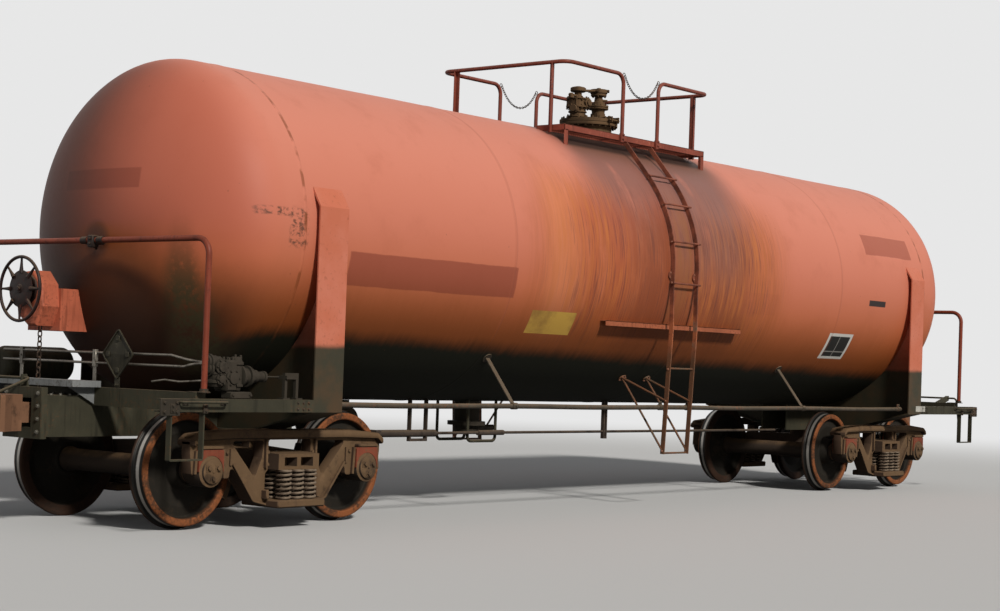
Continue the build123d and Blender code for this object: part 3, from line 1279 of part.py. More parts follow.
for number, axle_x in enumerate(AXLE_XS, start=1):
    axle_line = Axis((axle_x, 0, AXLE_Z), (0, 1, 0))
    with BuildPart() as axle:
        with BuildSketch(Plane((axle_x, 0, AXLE_Z), x_dir=(0, 1, 0), z_dir=(1, 0, 0))):
            with BuildLine():
                outline = []
                for step, (start, radius) in enumerate(AXLE_STEPS[:-1]):
                    outline += [(start, radius), (AXLE_STEPS[step + 1][0], radius)]
                full = [(-y, r) for y, r in reversed(outline)][:-1] + outline[1:]
                Polyline((-AXLE_STEPS[-1][0], 0), *full, (AXLE_STEPS[-1][0], 0), close=True)
            make_face()
        revolve(axis=axle_line)
    axle.part.label = f"axle_{number}"
    export_step(axle.part, f"parts/axle_{number}.step")

    with BuildPart() as wheels:
        with BuildSketch(Plane((axle_x, 0, AXLE_Z), x_dir=(0, 1, 0), z_dir=(1, 0, 0))):
            with BuildLine():
                Polyline(
                    (WHEEL_FACE + HUB_STAND, WHEEL_SEAT),
                    (WHEEL_BACK - 14, WHEEL_SEAT),
                    (WHEEL_BACK - 14, HUB_RADIUS),
                    (WHEEL_BACK + 30, 150),
                )
                ThreePointArc((WHEEL_BACK + 30, 150), (WHEEL_BACK + 72, 275), (WHEEL_BACK + 50, 385))
                Polyline((WHEEL_BACK + 50, 385), (WHEEL_BACK + 2, 392), (WHEEL_BACK, TREAD_RADIUS + 8))
                ThreePointArc(
                    (WHEEL_BACK, TREAD_RADIUS + 8),
                    (WHEEL_BACK + 17, TREAD_RADIUS + FLANGE_DEPTH),
                    (WHEEL_BACK + 33, TREAD_RADIUS + 8),
                )
                ThreePointArc(
                    (WHEEL_BACK + 33, TREAD_RADIUS + 8),
                    (WHEEL_BACK + 38, TREAD_RADIUS + 2.5),
                    (WHEEL_BACK + 46, TREAD_RADIUS),
                )
                Polyline(
                    (WHEEL_BACK + 46, TREAD_RADIUS),
                    (WHEEL_FACE - 8, TREAD_RADIUS - 5),
                    (WHEEL_FACE, TREAD_RADIUS - 14),
                    (WHEEL_FACE, 397),
                    (WHEEL_BACK + 82, 380),
                )
                ThreePointArc((WHEEL_BACK + 82, 380), (WHEEL_BACK + 98, 275), (WHEEL_BACK + 62, 160))
                Polyline(
                    (WHEEL_BACK + 62, 160),
                    (WHEEL_FACE + HUB_STAND, HUB_RADIUS),
                    (WHEEL_FACE + HUB_STAND, WHEEL_SEAT),
                )
            make_face()
        revolve(axis=axle_line)
        mirror(about=Plane.XZ)
    wheels.part.label = f"wheels_{number}"
    export_step(wheels.part, f"parts/wheels_{number}.step")
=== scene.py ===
"""Railway tank car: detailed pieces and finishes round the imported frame."""

import json
import math

import bmesh
import bpy
import numpy as np
from mathutils import Matrix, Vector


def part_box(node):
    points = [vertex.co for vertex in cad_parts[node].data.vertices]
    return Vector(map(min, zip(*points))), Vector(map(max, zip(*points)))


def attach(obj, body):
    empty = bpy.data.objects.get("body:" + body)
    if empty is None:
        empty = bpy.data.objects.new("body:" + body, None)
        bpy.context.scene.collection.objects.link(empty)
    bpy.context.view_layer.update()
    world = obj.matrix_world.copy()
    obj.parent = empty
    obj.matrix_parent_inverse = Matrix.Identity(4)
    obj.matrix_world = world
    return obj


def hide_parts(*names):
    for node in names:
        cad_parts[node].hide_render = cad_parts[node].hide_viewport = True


bl_info = {
    "name": "Railway tank car",
    "version": (1, 0, 0),
    "blender": (4, 5, 0),
    "location": "View3D > Sidebar > Tank car",
    "description": "Dresses the packed frame of a railway tank car with detailed pieces and finishes",
    "category": "Object",
}

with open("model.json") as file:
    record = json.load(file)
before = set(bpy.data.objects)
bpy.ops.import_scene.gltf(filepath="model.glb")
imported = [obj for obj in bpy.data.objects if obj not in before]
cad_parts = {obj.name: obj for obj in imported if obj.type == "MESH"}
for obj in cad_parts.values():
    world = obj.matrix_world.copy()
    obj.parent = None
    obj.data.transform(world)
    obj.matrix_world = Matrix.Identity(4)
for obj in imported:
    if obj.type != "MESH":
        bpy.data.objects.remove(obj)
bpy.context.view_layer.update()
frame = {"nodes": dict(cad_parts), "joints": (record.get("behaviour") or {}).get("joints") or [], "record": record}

# Places taken from the frame, in metres.
PIVOT = {joint["child"]: joint["pos_m"] for joint in frame["joints"]}
TRUCKS = (("a", PIVOT["truck_a"][0]), ("b", PIVOT["truck_b"][0]))
WHEELSETS = tuple((number, PIVOT[f"wheelset_{number}"][0]) for number in (1, 2, 3, 4))
AXLE_Z = PIVOT["wheelset_1"][2]
TANK_LOW, TANK_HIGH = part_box("tank_shell")
TANK_RADIUS = (TANK_HIGH.z - TANK_LOW.z) / 2
TANK_Z = (TANK_HIGH.z + TANK_LOW.z) / 2
HEAD_DEPTH = TANK_RADIUS / 2
SHELL_HALF = TANK_HIGH.x - HEAD_DEPTH

# Weld beads along the shell, and the one round each end's pad.
SHELL_SEAMS = (-2.74, 0.3, 3.36)
PAD_SEAM = 5.455

# The height of the wheels' treads over the floor, which their flanges reach.
LIFT = 0.0254

AHEAD = np.array((1.0, 0.0, 0.0))
ACROSS = np.array((0.0, 1.0, 0.0))
UPWARD = np.array((0.0, 0.0, 1.0))
IN_PLACE = ((0, 0, 0),)

# Mirror images of a piece, as the signs of x, y and z.
ONCE = ((1, 1, 1),)
BOTH_SIDES = ((1, 1, 1), (1, -1, 1))
BOTH_ENDS = ((1, 1, 1), (-1, 1, 1))
CORNERS = ((1, 1, 1), (1, -1, 1), (-1, 1, 1), (-1, -1, 1))
TURNED = ((1, 1, 1), (-1, -1, 1))


def lift(height):
    """A height above the treads' lowest line as a z in the frame."""
    return height + LIFT


def lifted(points):
    """Points (x, y, height above the treads' lowest line) as points in the frame."""
    return np.asarray(points, float) + (0, 0, LIFT)


class TankCarSizes(bpy.types.PropertyGroup):
    """Sizes of the detail that the frame doesn't hold."""

    tank_sides: bpy.props.IntProperty(
        name="Tank sides", description="Sides of the tank's rings", default=256, min=32
    )
    dent_depth: bpy.props.FloatProperty(
        name="Dents", description="Depth of the shell's shallow dents", default=0.0016, unit="LENGTH"
    )
    seam_height: bpy.props.FloatProperty(
        name="Seam", description="Height of a weld bead on the shell", default=0.003, unit="LENGTH"
    )
    bolt_width: bpy.props.FloatProperty(
        name="Bolt", description="Radius of an ordinary bolt head", default=0.015, unit="LENGTH"
    )
    spring_wire: bpy.props.FloatProperty(
        name="Spring wire", description="Radius of an outer coil's bar", default=0.0105, unit="LENGTH"
    )
    chain_pitch: bpy.props.FloatProperty(
        name="Chain pitch", description="Distance between a gate chain's links", default=0.026, unit="LENGTH"
    )
    pipe_sides: bpy.props.IntProperty(
        name="Pipe sides", description="Sides of a round pipe", default=16, min=6
    )


def colour_property(name, description, value):
    """A colour that the panel can change."""
    return bpy.props.FloatVectorProperty(
        name=name, description=description, subtype="COLOR", size=3, min=0.0, max=1.0, default=value
    )


class TankCarColours(bpy.types.PropertyGroup):
    """Colours of the finishes."""

    tank_red: colour_property("Tank red", "Paint of the tank's sides", (0.56, 0.16, 0.088))
    faded_red: colour_property("Faded red", "Sun-bleached paint of the tank's crown", (0.66, 0.24, 0.165))
    head_red: colour_property("Head red", "Deeper paint of the heads", (0.46, 0.118, 0.068))
    repaint_red: colour_property("Repaint", "Darker fresh paint of the patches", (0.27, 0.062, 0.036))
    rust_orange: colour_property("Rust orange", "Rust that runs down the tank", (0.42, 0.115, 0.035))
    rust_bright: colour_property("Bright rust", "Thin pale runs of rust", (0.56, 0.175, 0.05))
    stain_brown: colour_property("Stain", "Purple-brown stain below the platform", (0.26, 0.108, 0.084))
    grime_brown: colour_property("Brown grime", "Thin dirt on the lower tank", (0.13, 0.034, 0.005))
    # Also the painted shade of the tank's underside and of the bolsters' webs.
    grime_and_shade: colour_property("Grime", "Road grime on the tank's underside", (0.0085, 0.0088, 0.0035))
    oil_green: colour_property("Oil", "Green-black streak on the head", (0.035, 0.033, 0.014))
    railing_red: colour_property("Railing red", "Paint of rails and platform", (0.25, 0.062, 0.038))
    brake_red: colour_property("Brake red", "Bright paint of the hand brake", (0.44, 0.115, 0.06))
    rail_red: colour_property("Rail red", "Paint of the end handrails", (0.22, 0.045, 0.022))
    valve_dust: colour_property("Valve dust", "Dust on the control valve", (0.045, 0.036, 0.026))
    frame_green: colour_property("Frame", "Grey-green grime on the underframe", (0.046, 0.042, 0.026))
    truck_dust: colour_property("Truck dust", "Brown brake dust on castings", (0.14, 0.084, 0.043))
    wheel_rust: colour_property("Wheel rust", "Orange rust of the wheel rims", (0.25, 0.082, 0.028))
    valve_olive: colour_property("Valve olive", "Oily grime on the valves", (0.13, 0.075, 0.036))
    bare_steel: colour_property("Bare steel", "Worn bright steel", (0.42, 0.39, 0.35))


def sizes():
    """The panel's sizes."""
    return bpy.context.scene.tank_car_sizes


def colours():
    """The panel's colours."""
    return bpy.context.scene.tank_car_colours


# Shapes


def unit(vectors):
    """Vectors divided by their lengths."""
    return vectors / np.linalg.norm(vectors, axis=-1, keepdims=True)


def circle(count):
    """Angles at equal steps round a circle."""
    return np.arange(count) * 2 * math.pi / count


def side_vectors(axis):
    """An axis as a unit vector, and two more that are square to it and to each other."""
    axis = unit(np.asarray(axis, float))
    helper = UPWARD if abs(axis[2]) < 0.9 else AHEAD
    first = unit(np.cross(helper, axis))
    return axis, first, np.cross(axis, first)


def bent(corners, radius, steps=7, closed=False):
    """Straight runs joined by circular arcs: each corner becomes the rational quadratic
    ((1-s)^2 A + 2ws(1-s) P + s^2 B) / ((1-s)^2 + 2ws(1-s) + s^2) with w the cosine of half the turn."""
    corners = np.asarray(corners, float)
    count = len(corners)
    pieces = [] if closed else [corners[:1]]
    s = np.linspace(0, 1, steps)[:, None]
    for place in range(0 if closed else 1, count if closed else count - 1):
        corner = corners[place]
        back = corners[place - 1] - corner
        on = corners[(place + 1) % count] - corner
        room = 0.48 * min(np.linalg.norm(back), np.linalg.norm(on))
        back, on = unit(back), unit(on)
        turn = math.pi - math.acos(np.clip(back @ on, -1, 1))
        reach = min(radius * math.tan(turn / 2), room)
        weight = math.cos(turn / 2)
        first, last = (1 - s) ** 2, s**2
        middle = 2 * weight * s * (1 - s)
        arc = first * (corner + back * reach) + middle * corner + last * (corner + on * reach)
        pieces.append(arc / (first + middle + last))
    if not closed:
        pieces.append(corners[-1:])
    return np.concatenate(pieces)


def runs_along(path, closed):
    """Unit vectors along a path, one at each of its points."""
    if closed:
        return unit(np.roll(path, -1, axis=0) - np.roll(path, 1, axis=0))
    return unit(np.gradient(path, axis=0))


def evenly(path, count):
    """Points at equal steps along a path."""
    path = np.asarray(path, float)
    run = np.concatenate(([0], np.cumsum(np.linalg.norm(np.diff(path, axis=0), axis=1))))
    at = np.linspace(0, run[-1], count)
    return np.stack([np.interp(at, run, path[:, k]) for k in range(3)], axis=1)


class Build:
    """Collects surfaces and makes them one piece."""

    def __init__(self, mirrors=ONCE):
        self.points = []
        self.faces = []
        self.count = 0
        self.mirrors = mirrors

    def add(self, points, faces, copies=IN_PLACE):
        """Takes points and faces, once for each copy's offset and each mirror image."""
        points = np.asarray(points, float).reshape(-1, 3)
        for signs in self.mirrors:
            flip = np.prod(signs) < 0
            for offset in np.asarray(copies, float).reshape(-1, 3):
                self.points.append((points + offset) * np.array(signs))
                for group in faces:
                    group = np.asarray(group)
                    self.faces.extend(((group[:, ::-1] if flip else group) + self.count).tolist())
                self.count += len(points)

    def grid(self, points, rows_meet=False, caps=False, copies=IN_PLACE):
        """A closed surface on a grid of points whose columns meet. Its rows meet too, or a fan from the
        middle of the first and the last row caps them. It is turned so that its volume is positive."""
        rows, columns = points.shape[:2]
        number = np.arange(rows * columns).reshape(rows, columns)
        if rows_meet:
            number = np.vstack((number, number[:1]))
        number = np.hstack((number, number[:, :1]))
        around = (number[:-1, :-1], number[:-1, 1:], number[1:, 1:], number[1:, :-1])
        quads = np.stack(around, -1).reshape(-1, 4)
        flat = points.reshape(-1, 3)
        faces = [quads]
        if caps:
            start, finish = len(flat), len(flat) + 1
            flat = np.vstack((flat, points[0].mean(0), points[-1].mean(0)))
            first, last = number[0], number[-1]
            faces.append(np.stack((first[1:], first[:-1], np.full(len(first) - 1, start)), -1))
            faces.append(np.stack((last[:-1], last[1:], np.full(len(last) - 1, finish)), -1))
        volume = 0.0
        middle = flat.mean(0)
        for group in faces:
            corner = flat[group] - middle
            volume += np.einsum("ij,ij->", corner[:, 0], np.cross(corner[:, 1], corner[:, 2]))
            if group.shape[1] == 4:
                volume += np.einsum("ij,ij->", corner[:, 0], np.cross(corner[:, 2], corner[:, 3]))
        if volume < 0:
            faces = [group[:, ::-1] for group in faces]
        self.add(flat, faces, copies)

    def lathe(self, profile, origin=(0, 0, 0), axis=UPWARD, sides=32, closed=False, copies=IN_PLACE):
        """A profile of (along, radius) turned round an axis: along A + radius (cos t B + sin t C)."""
        profile = np.asarray(profile, float)
        axis, first, second = side_vectors(axis)
        turn = circle(sides)
        spoke = np.cos(turn)[:, None] * first + np.sin(turn)[:, None] * second
        points = np.asarray(origin, float) + profile[:, :1, None] * axis + profile[:, 1:, None] * spoke
        self.grid(points, rows_meet=closed, caps=not closed, copies=copies)

    def tube(self, path, radius, sides=None, closed=False, copies=IN_PLACE, flat=None):
        """A round bar along a path: P + r (cos t N + sin t M), with N and M square to the run."""
        path = np.asarray(path, float)
        sides = sides or sizes().pipe_sides
        run = runs_along(path, closed)
        helper = np.array((0.31, 0.57, 0.76)) if flat is None else np.asarray(flat, float)
        first = unit(np.cross(helper, run))
        second = np.cross(run, first)
        turn = circle(sides)
        radius = np.broadcast_to(np.asarray(radius, float), len(path))
        ring = np.cos(turn)[None, :, None] * first[:, None] + np.sin(turn)[None, :, None] * second[:, None]
        points = path[:, None] + radius[:, None, None] * ring
        self.grid(points, rows_meet=closed, caps=not closed, copies=copies)

    def strap(self, path, width, thickness, flat, closed=False):
        """A flat bar along a path: width runs along the given vector, thickness square to it."""
        path = np.asarray(path, float)
        run = runs_along(path, closed)
        wide = np.broadcast_to(unit(np.asarray(flat, float)), run.shape)
        thick = unit(np.cross(run, wide))
        edge = min(width, thickness) * 0.18
        a, b = width / 2, thickness / 2
        section = np.array((
            (a - edge, b), (a, b - edge), (a, edge - b), (a - edge, -b),
            (edge - a, -b), (-a, edge - b), (-a, b - edge), (edge - a, b),
        ))
        points = path[:, None] + section[None, :, :1] * wide[:, None] + section[None, :, 1:] * thick[:, None]
        self.grid(points, rows_meet=closed, caps=not closed)

    def block(self, low, high, bevel=0.004, copies=IN_PLACE):
        """A box with chamfered edges: each corner is three points, one on each face that meets there."""
        low, high = np.minimum(low, high), np.maximum(low, high)
        centre, half = (low + high) / 2, (high - low) / 2
        bevel = min(bevel, 0.45 * half.min())
        signs = np.array([(a, b, c) for a in (-1, 1) for b in (-1, 1) for c in (-1, 1)], float)
        points = np.repeat(signs * (half - bevel), 3, axis=0)
        rows = np.arange(24)
        points[rows, rows % 3] = (np.repeat(signs, 3, axis=0) * half)[rows, rows % 3]
        step = (4, 2, 1)
        quads, triangles = [], [[3 * corner, 3 * corner + 1, 3 * corner + 2] for corner in range(8)]
        for axis in range(3):
            one, two = (axis + 1) % 3, (axis + 2) % 3
            for sign in (0, 1):
                base = sign * step[axis]
                ring = [base, base + step[one], base + step[one] + step[two], base + step[two]]
                quads.append([3 * corner + axis for corner in ring])
                for other in (0, 1):
                    near = sign * step[one] + other * step[two]
                    far = near + step[axis]
                    quads.append([3 * near + one, 3 * far + one, 3 * far + two, 3 * near + two])
        turned = []
        for group in (np.array(quads), np.array(triangles)):
            corner = points[group]
            normal = np.cross(corner[:, 1] - corner[:, 0], corner[:, 2] - corner[:, 0])
            inward = np.einsum("ij,ij->i", normal, corner.mean(1)) < 0
            group[inward] = group[inward][:, ::-1]
            turned.append(group)
        self.add(points + centre, turned, copies)

    def plate(self, outlines, depth, origin, along=AHEAD, up=UPWARD, bevel=0.003):
        """A flat plate with rounded edges, centred on a plane: closed outlines, holes among them."""
        curve = bpy.data.curves.new("outline", "CURVE")
        curve.dimensions = "2D"
        curve.fill_mode = "BOTH"
        curve.bevel_depth = bevel
        curve.bevel_resolution = 1
        curve.extrude = depth / 2 - bevel
        curve.offset = -bevel
        for outline in outlines:
            outline = np.asarray(outline, float)
            spline = curve.splines.new("POLY")
            spline.points.add(len(outline) - 1)
            rows = np.column_stack((outline, np.zeros(len(outline)), np.ones(len(outline))))
            spline.points.foreach_set("co", rows.ravel())
            spline.use_cyclic_u = True
        holder = bpy.data.objects.new("outline", curve)
        mesh = bpy.data.meshes.new_from_object(holder)
        shape = bmesh.new()
        shape.from_mesh(mesh)
        bmesh.ops.remove_doubles(shape, verts=shape.verts, dist=1e-5)
        bmesh.ops.recalc_face_normals(shape, faces=shape.faces)
        points = np.array([vertex.co for vertex in shape.verts])
        shape.verts.index_update()
        faces = [np.array([[vertex.index for vertex in face.verts]]) for face in shape.faces]
        shape.free()
        bpy.data.objects.remove(holder)
        bpy.data.meshes.remove(mesh)
        bpy.data.curves.remove(curve)
        along, up = np.asarray(along, float), np.asarray(up, float)
        out = np.cross(along, up)
        self.add(np.asarray(origin) + points @ np.stack((along, up, out)), faces)

    def blocks(self, rows):
        """Boxes from a table of low corner, high corner and chamfer."""
        for low, high, bevel in rows:
            self.block(low, high, bevel)

    def bolts(self, centres, axis, radius=None, height=None):
        """Hexagon heads on round washers, standing on a surface."""
        radius = radius or sizes().bolt_width
        height = height or radius * 1.1
        centres = np.asarray(centres, float).reshape(-1, 3)
        washer = ((0, radius * 1.35), (height * 0.2, radius * 1.35))
        self.lathe(washer, axis=axis, sides=12, copies=centres)
        head = ((height * 0.15, radius), (height * 0.85, radius), (height, radius * 0.82))
        self.lathe(head, axis=axis, sides=6, copies=centres)

    def links(self, path, pitch, wire, width):
        """Chain links along a path, each an oval ring, turned a quarter from its neighbour."""
        count = max(2, round(np.linalg.norm(np.diff(path, axis=0), axis=1).sum() / pitch))
        spots = evenly(path, count + 1)
        middles, runs = (spots[1:] + spots[:-1]) / 2, unit(np.diff(spots, axis=0))
        first = unit(np.cross((0.0, 1.0, 0.02), runs))
        second = np.cross(runs, first)
        odd = (np.arange(count) % 2 == 1)[:, None]
        broad, thin = np.where(odd, first, second), np.where(odd, second, first)
        turn, ring = circle(12), circle(6)
        reach = pitch / 2 + wire
        along = np.cos(turn) * (width / 2) + np.sign(np.cos(turn).round(6)) * (reach - width / 2)
        out = np.sin(turn) * width / 2
        outward = np.stack((np.cos(turn), np.sin(turn)), -1)
        for middle, run, side, face in zip(middles, runs, broad, thin):
            centre = middle + along[:, None] * run + out[:, None] * side
            normal = outward[:, :1] * run + outward[:, 1:] * side
            round_it = np.cos(ring)[None, :, None] * normal[:, None] + np.sin(ring)[None, :, None] * face
            self.grid(centre[:, None] + wire * round_it, rows_meet=True)

    def piece(self, name, body, slot, material, replaces=(), smooth=38):
        """Makes the collected surfaces one object that rides on a body."""
        mesh = bpy.data.meshes.new(name)
        mesh.from_pydata(np.concatenate(self.points).tolist(), [], self.faces)
        mesh.shade_smooth()
        mesh.set_sharp_from_angle(angle=math.radians(smooth))
        made = bpy.data.objects.new(name, mesh)
        bpy.context.scene.collection.objects.link(made)
        mesh.materials.append(material)
        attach(made, body)
        if replaces:
            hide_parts(*replaces)


def ring_of(centre, axis, radius, count, start=0.0):
    """Points on a circle round an axis."""
    _, first, second = side_vectors(axis)
    turn = start + circle(count)
    return np.asarray(centre) + radius * (np.cos(turn)[:, None] * first + np.sin(turn)[:, None] * second)


def on_tank(x, angle, radius=TANK_RADIUS):
    """A point at an angle above the horizontal on the near side of a cylinder round the tank's axis."""
    turn = np.radians(angle)
    return np.stack(np.broadcast_arrays(x, -radius * np.cos(turn), TANK_Z + radius * np.sin(turn)), -1)


# Finishes


DUST = (0.26, 0.18, 0.11)


class Value:
    """A number that varies over a surface, in sums written as Python expressions."""

    def __init__(self, finish, socket):
        self.finish = finish
        self.socket = socket

    def sum_of(self, operation, *terms):
        """An operation on values and plain numbers, as a Math node."""
        return self.finish.node("ShaderNodeMath", {"operation": operation}, dict(enumerate(terms)))

    def __add__(self, other):
        return self.sum_of("ADD", self, other)

    def __radd__(self, other):
        return self.sum_of("ADD", other, self)

    def __sub__(self, other):
        return self.sum_of("SUBTRACT", self, other)

    def __rsub__(self, other):
        return self.sum_of("SUBTRACT", other, self)

    def __mul__(self, other):
        return self.sum_of("MULTIPLY", self, other)

    def __rmul__(self, other):
        return self.sum_of("MULTIPLY", other, self)

    def __truediv__(self, other):
        return self.sum_of("DIVIDE", self, other)

    def __rtruediv__(self, other):
        return self.sum_of("DIVIDE", other, self)

    def __pow__(self, other):
        return self.sum_of("POWER", self, other)

    def __rpow__(self, other):
        return self.sum_of("POWER", other, self)

    def __abs__(self):
        return self.sum_of("ABSOLUTE", self)

    def most(self, other):
        """The larger of two."""
        return self.sum_of("MAXIMUM", self, other)

    def rise(self, low, high):
        """0 below low, 1 above high and a smooth step between them; it falls where low is the larger."""
        values = {"Value": self, "From Min": low, "From Max": high}
        if low > high:
            values.update({"From Min": high, "From Max": low, "To Min": 1.0, "To Max": 0.0})
        return self.finish.node("ShaderNodeMapRange", {"interpolation_type": "SMOOTHSTEP"}, values)

    def band(self, low, high, edge):
        """1 between low and high, fading to 0 over an edge outside them."""
        return self.rise(low - edge, low) * self.rise(high + edge, high)


def mixed(first, second, share=0.5):
    """Two values added, the first by a share and the second by the rest."""
    return first * share + second * (1.0 - share)


class Nodes:
    """A node tree that starts empty."""

    def __init__(self, tree):
        self.tree = tree
        self.tree.nodes.clear()

    def node(self, kind, settings=None, values=None, output=0):
        """Any node: its settings are set first, then the values or links of its sockets."""
        made = self.tree.nodes.new(kind)
        for key, setting in (settings or {}).items():
            setattr(made, key, setting)
        for key, value in (values or {}).items():
            socket = made.inputs[key]
            if isinstance(value, Value):
                self.tree.links.new(value.socket, socket)
            elif hasattr(socket.default_value, "__len__"):
                value = tuple(value)
                socket.default_value = value + (1.0,) * (len(socket.default_value) - len(value))
            else:
                socket.default_value = value
        return Value(self, made.outputs[output])


class Finish(Nodes):
    """A material and the nodes that feed its shader."""

    def __init__(self, name):
        self.material = bpy.data.materials.new(name)
        self.material.use_nodes = True
        super().__init__(self.material.node_tree)
        self.shader = self.tree.nodes.new("ShaderNodeBsdfPrincipled")
        self.surface = self.tree.nodes.new("ShaderNodeOutputMaterial").inputs["Surface"]
        self.tree.links.new(self.shader.outputs[0], self.surface)
        self.place = self.node("ShaderNodeTexCoord", output="Object")
        self.x, self.y, self.z = (
            self.node("ShaderNodeSeparateXYZ", values={0: self.place}, output=axis) for axis in "XYZ"
        )
        self.base = None

    def vector(self, x, y, z):
        """Three numbers as one place."""
        return self.node("ShaderNodeCombineXYZ", values={0: x, 1: y, 2: z})

    def noise(self, scale, detail=4.0, rough=0.55, where=None):
        """Cloudy noise about 0.5."""
        values = {"Vector": where or self.place, "Scale": scale, "Detail": detail, "Roughness": rough}
        return self.node("ShaderNodeTexNoise", values=values)

    def specks(self, scale):
        """Distance to the nearest of scattered points."""
        return self.node("ShaderNodeTexVoronoi", values={"Vector": self.place, "Scale": scale})

    def blend(self, first, second, share):
        """Two colours mixed by a share from 0 to 1."""
        return self.node("ShaderNodeMix", {"data_type": "RGBA"}, {0: share, 6: first, 7: second}, output=2)

    def coat(self, colour, share):
        """Lays a colour over the base colour by a share from 0 to 1."""
        self.base = self.blend(self.base, colour, share)

    def facing(self, output):
        """How far the surface faces along an axis, from -1 to 1."""
        normal = self.node("ShaderNodeTexCoord", output="Normal")
        return self.node("ShaderNodeSeparateXYZ", values={0: normal}, output=output)

    def bump(self, height, strength, distance):
        """A normal that follows a height."""
        values = {"Height": height, "Strength": strength, "Distance": distance}
        return self.node("ShaderNodeBump", values=values)

    def done(self, rough, metal=0.0, normal=None):
        """Feeds the shader: a plain number goes on its own socket."""
        self.shader.inputs["Specular IOR Level"].default_value = 0.2
        fed = {"Base Color": self.base, "Roughness": rough, "Metallic": metal, "Normal": normal}
        for key, value in fed.items():
            if isinstance(value, Value):
                self.tree.links.new(value.socket, self.shader.inputs[key])
            elif value is not None:
                self.shader.inputs[key].default_value = value
        return self.material


def shade(colour, share):
    """A colour made darker or lighter."""
    return tuple(min(1.0, part * share) for part in colour)


def weathered(name, colour, worn, dust=0.3, rough=0.62, metal=0.0, grain=1.0):
    """Steel or paint with cloudy wear, small chips, streaks, dust where it faces up and painted shade where it
    faces down.
    """
    own = Finish(name)
    dirt_and_shade = shade(colour, 0.28)
    cloud = own.noise(2.6 * grain, 6.0, 0.6)
    fine = own.noise(38.0 * grain, 5.0, 0.65)
    streaks = own.noise(1.0, 4.0, 0.6, own.vector(own.x * 22.0, own.y * 22.0, own.z * 2.2))
    own.base = own.blend(shade(colour, 0.82), shade(colour, 1.18), cloud.rise(0.3, 0.7))
    own.coat(worn, mixed(fine, cloud, 0.6).rise(0.53, 0.64) * 0.8)
    own.coat(dirt_and_shade, streaks.rise(0.5, 0.72) * 0.55)
    up = own.facing("Z")
    own.coat(DUST, up.rise(0.1, 0.9) * dust)
    # Painted shade on faces that look down.
    own.coat(dirt_and_shade, up.rise(-0.3, -0.95) * 0.7)
    height = mixed(fine, own.noise(130.0 * grain, 3.0), 0.6)
    return own.done((rough - 0.1) + fine * 0.25, metal, own.bump(height, 0.35, 0.002))


def cast(name, colour, dust_and_light_colour, pits=1.0):
    """Rough cast steel: brake dust and painted light on faces that look out or up, oily black and painted
    shade elsewhere, darkest as painted shade on faces that look down.
    """
    own = Finish(name)
    cloud = own.noise(3.2, 5.0, 0.6)
    fine = own.noise(46.0, 6.0, 0.7)
    side, up = abs(own.facing("Y")), own.facing("Z")
    # Brake dust, and painted light on the faces that the lamp reaches: those that look out or up.
    dusty = side.rise(0.35, 0.85).most(up.rise(0.25, 0.9)) * mixed(cloud, fine, 0.6).rise(0.3, 0.52)
    own.base = own.blend(colour, dust_and_light_colour, dusty)
    own.coat(shade(dust_and_light_colour, 1.45), own.noise(7.0, 5.0, 0.65).rise(0.54, 0.7) * dusty * 0.6)
    # Painted shade on faces that look down.
    own.coat(shade(colour, 0.3), up.rise(-0.15, -0.9) * 0.85)
    own.coat(shade(colour, 0.4), own.noise(5.0, 5.0, 0.6).rise(0.58, 0.72) * 0.7)
    height = mixed(fine, own.noise(170.0, 3.0))
    return own.done(0.78 + fine * 0.15, normal=own.bump(height, 0.45 * pits, 0.004))


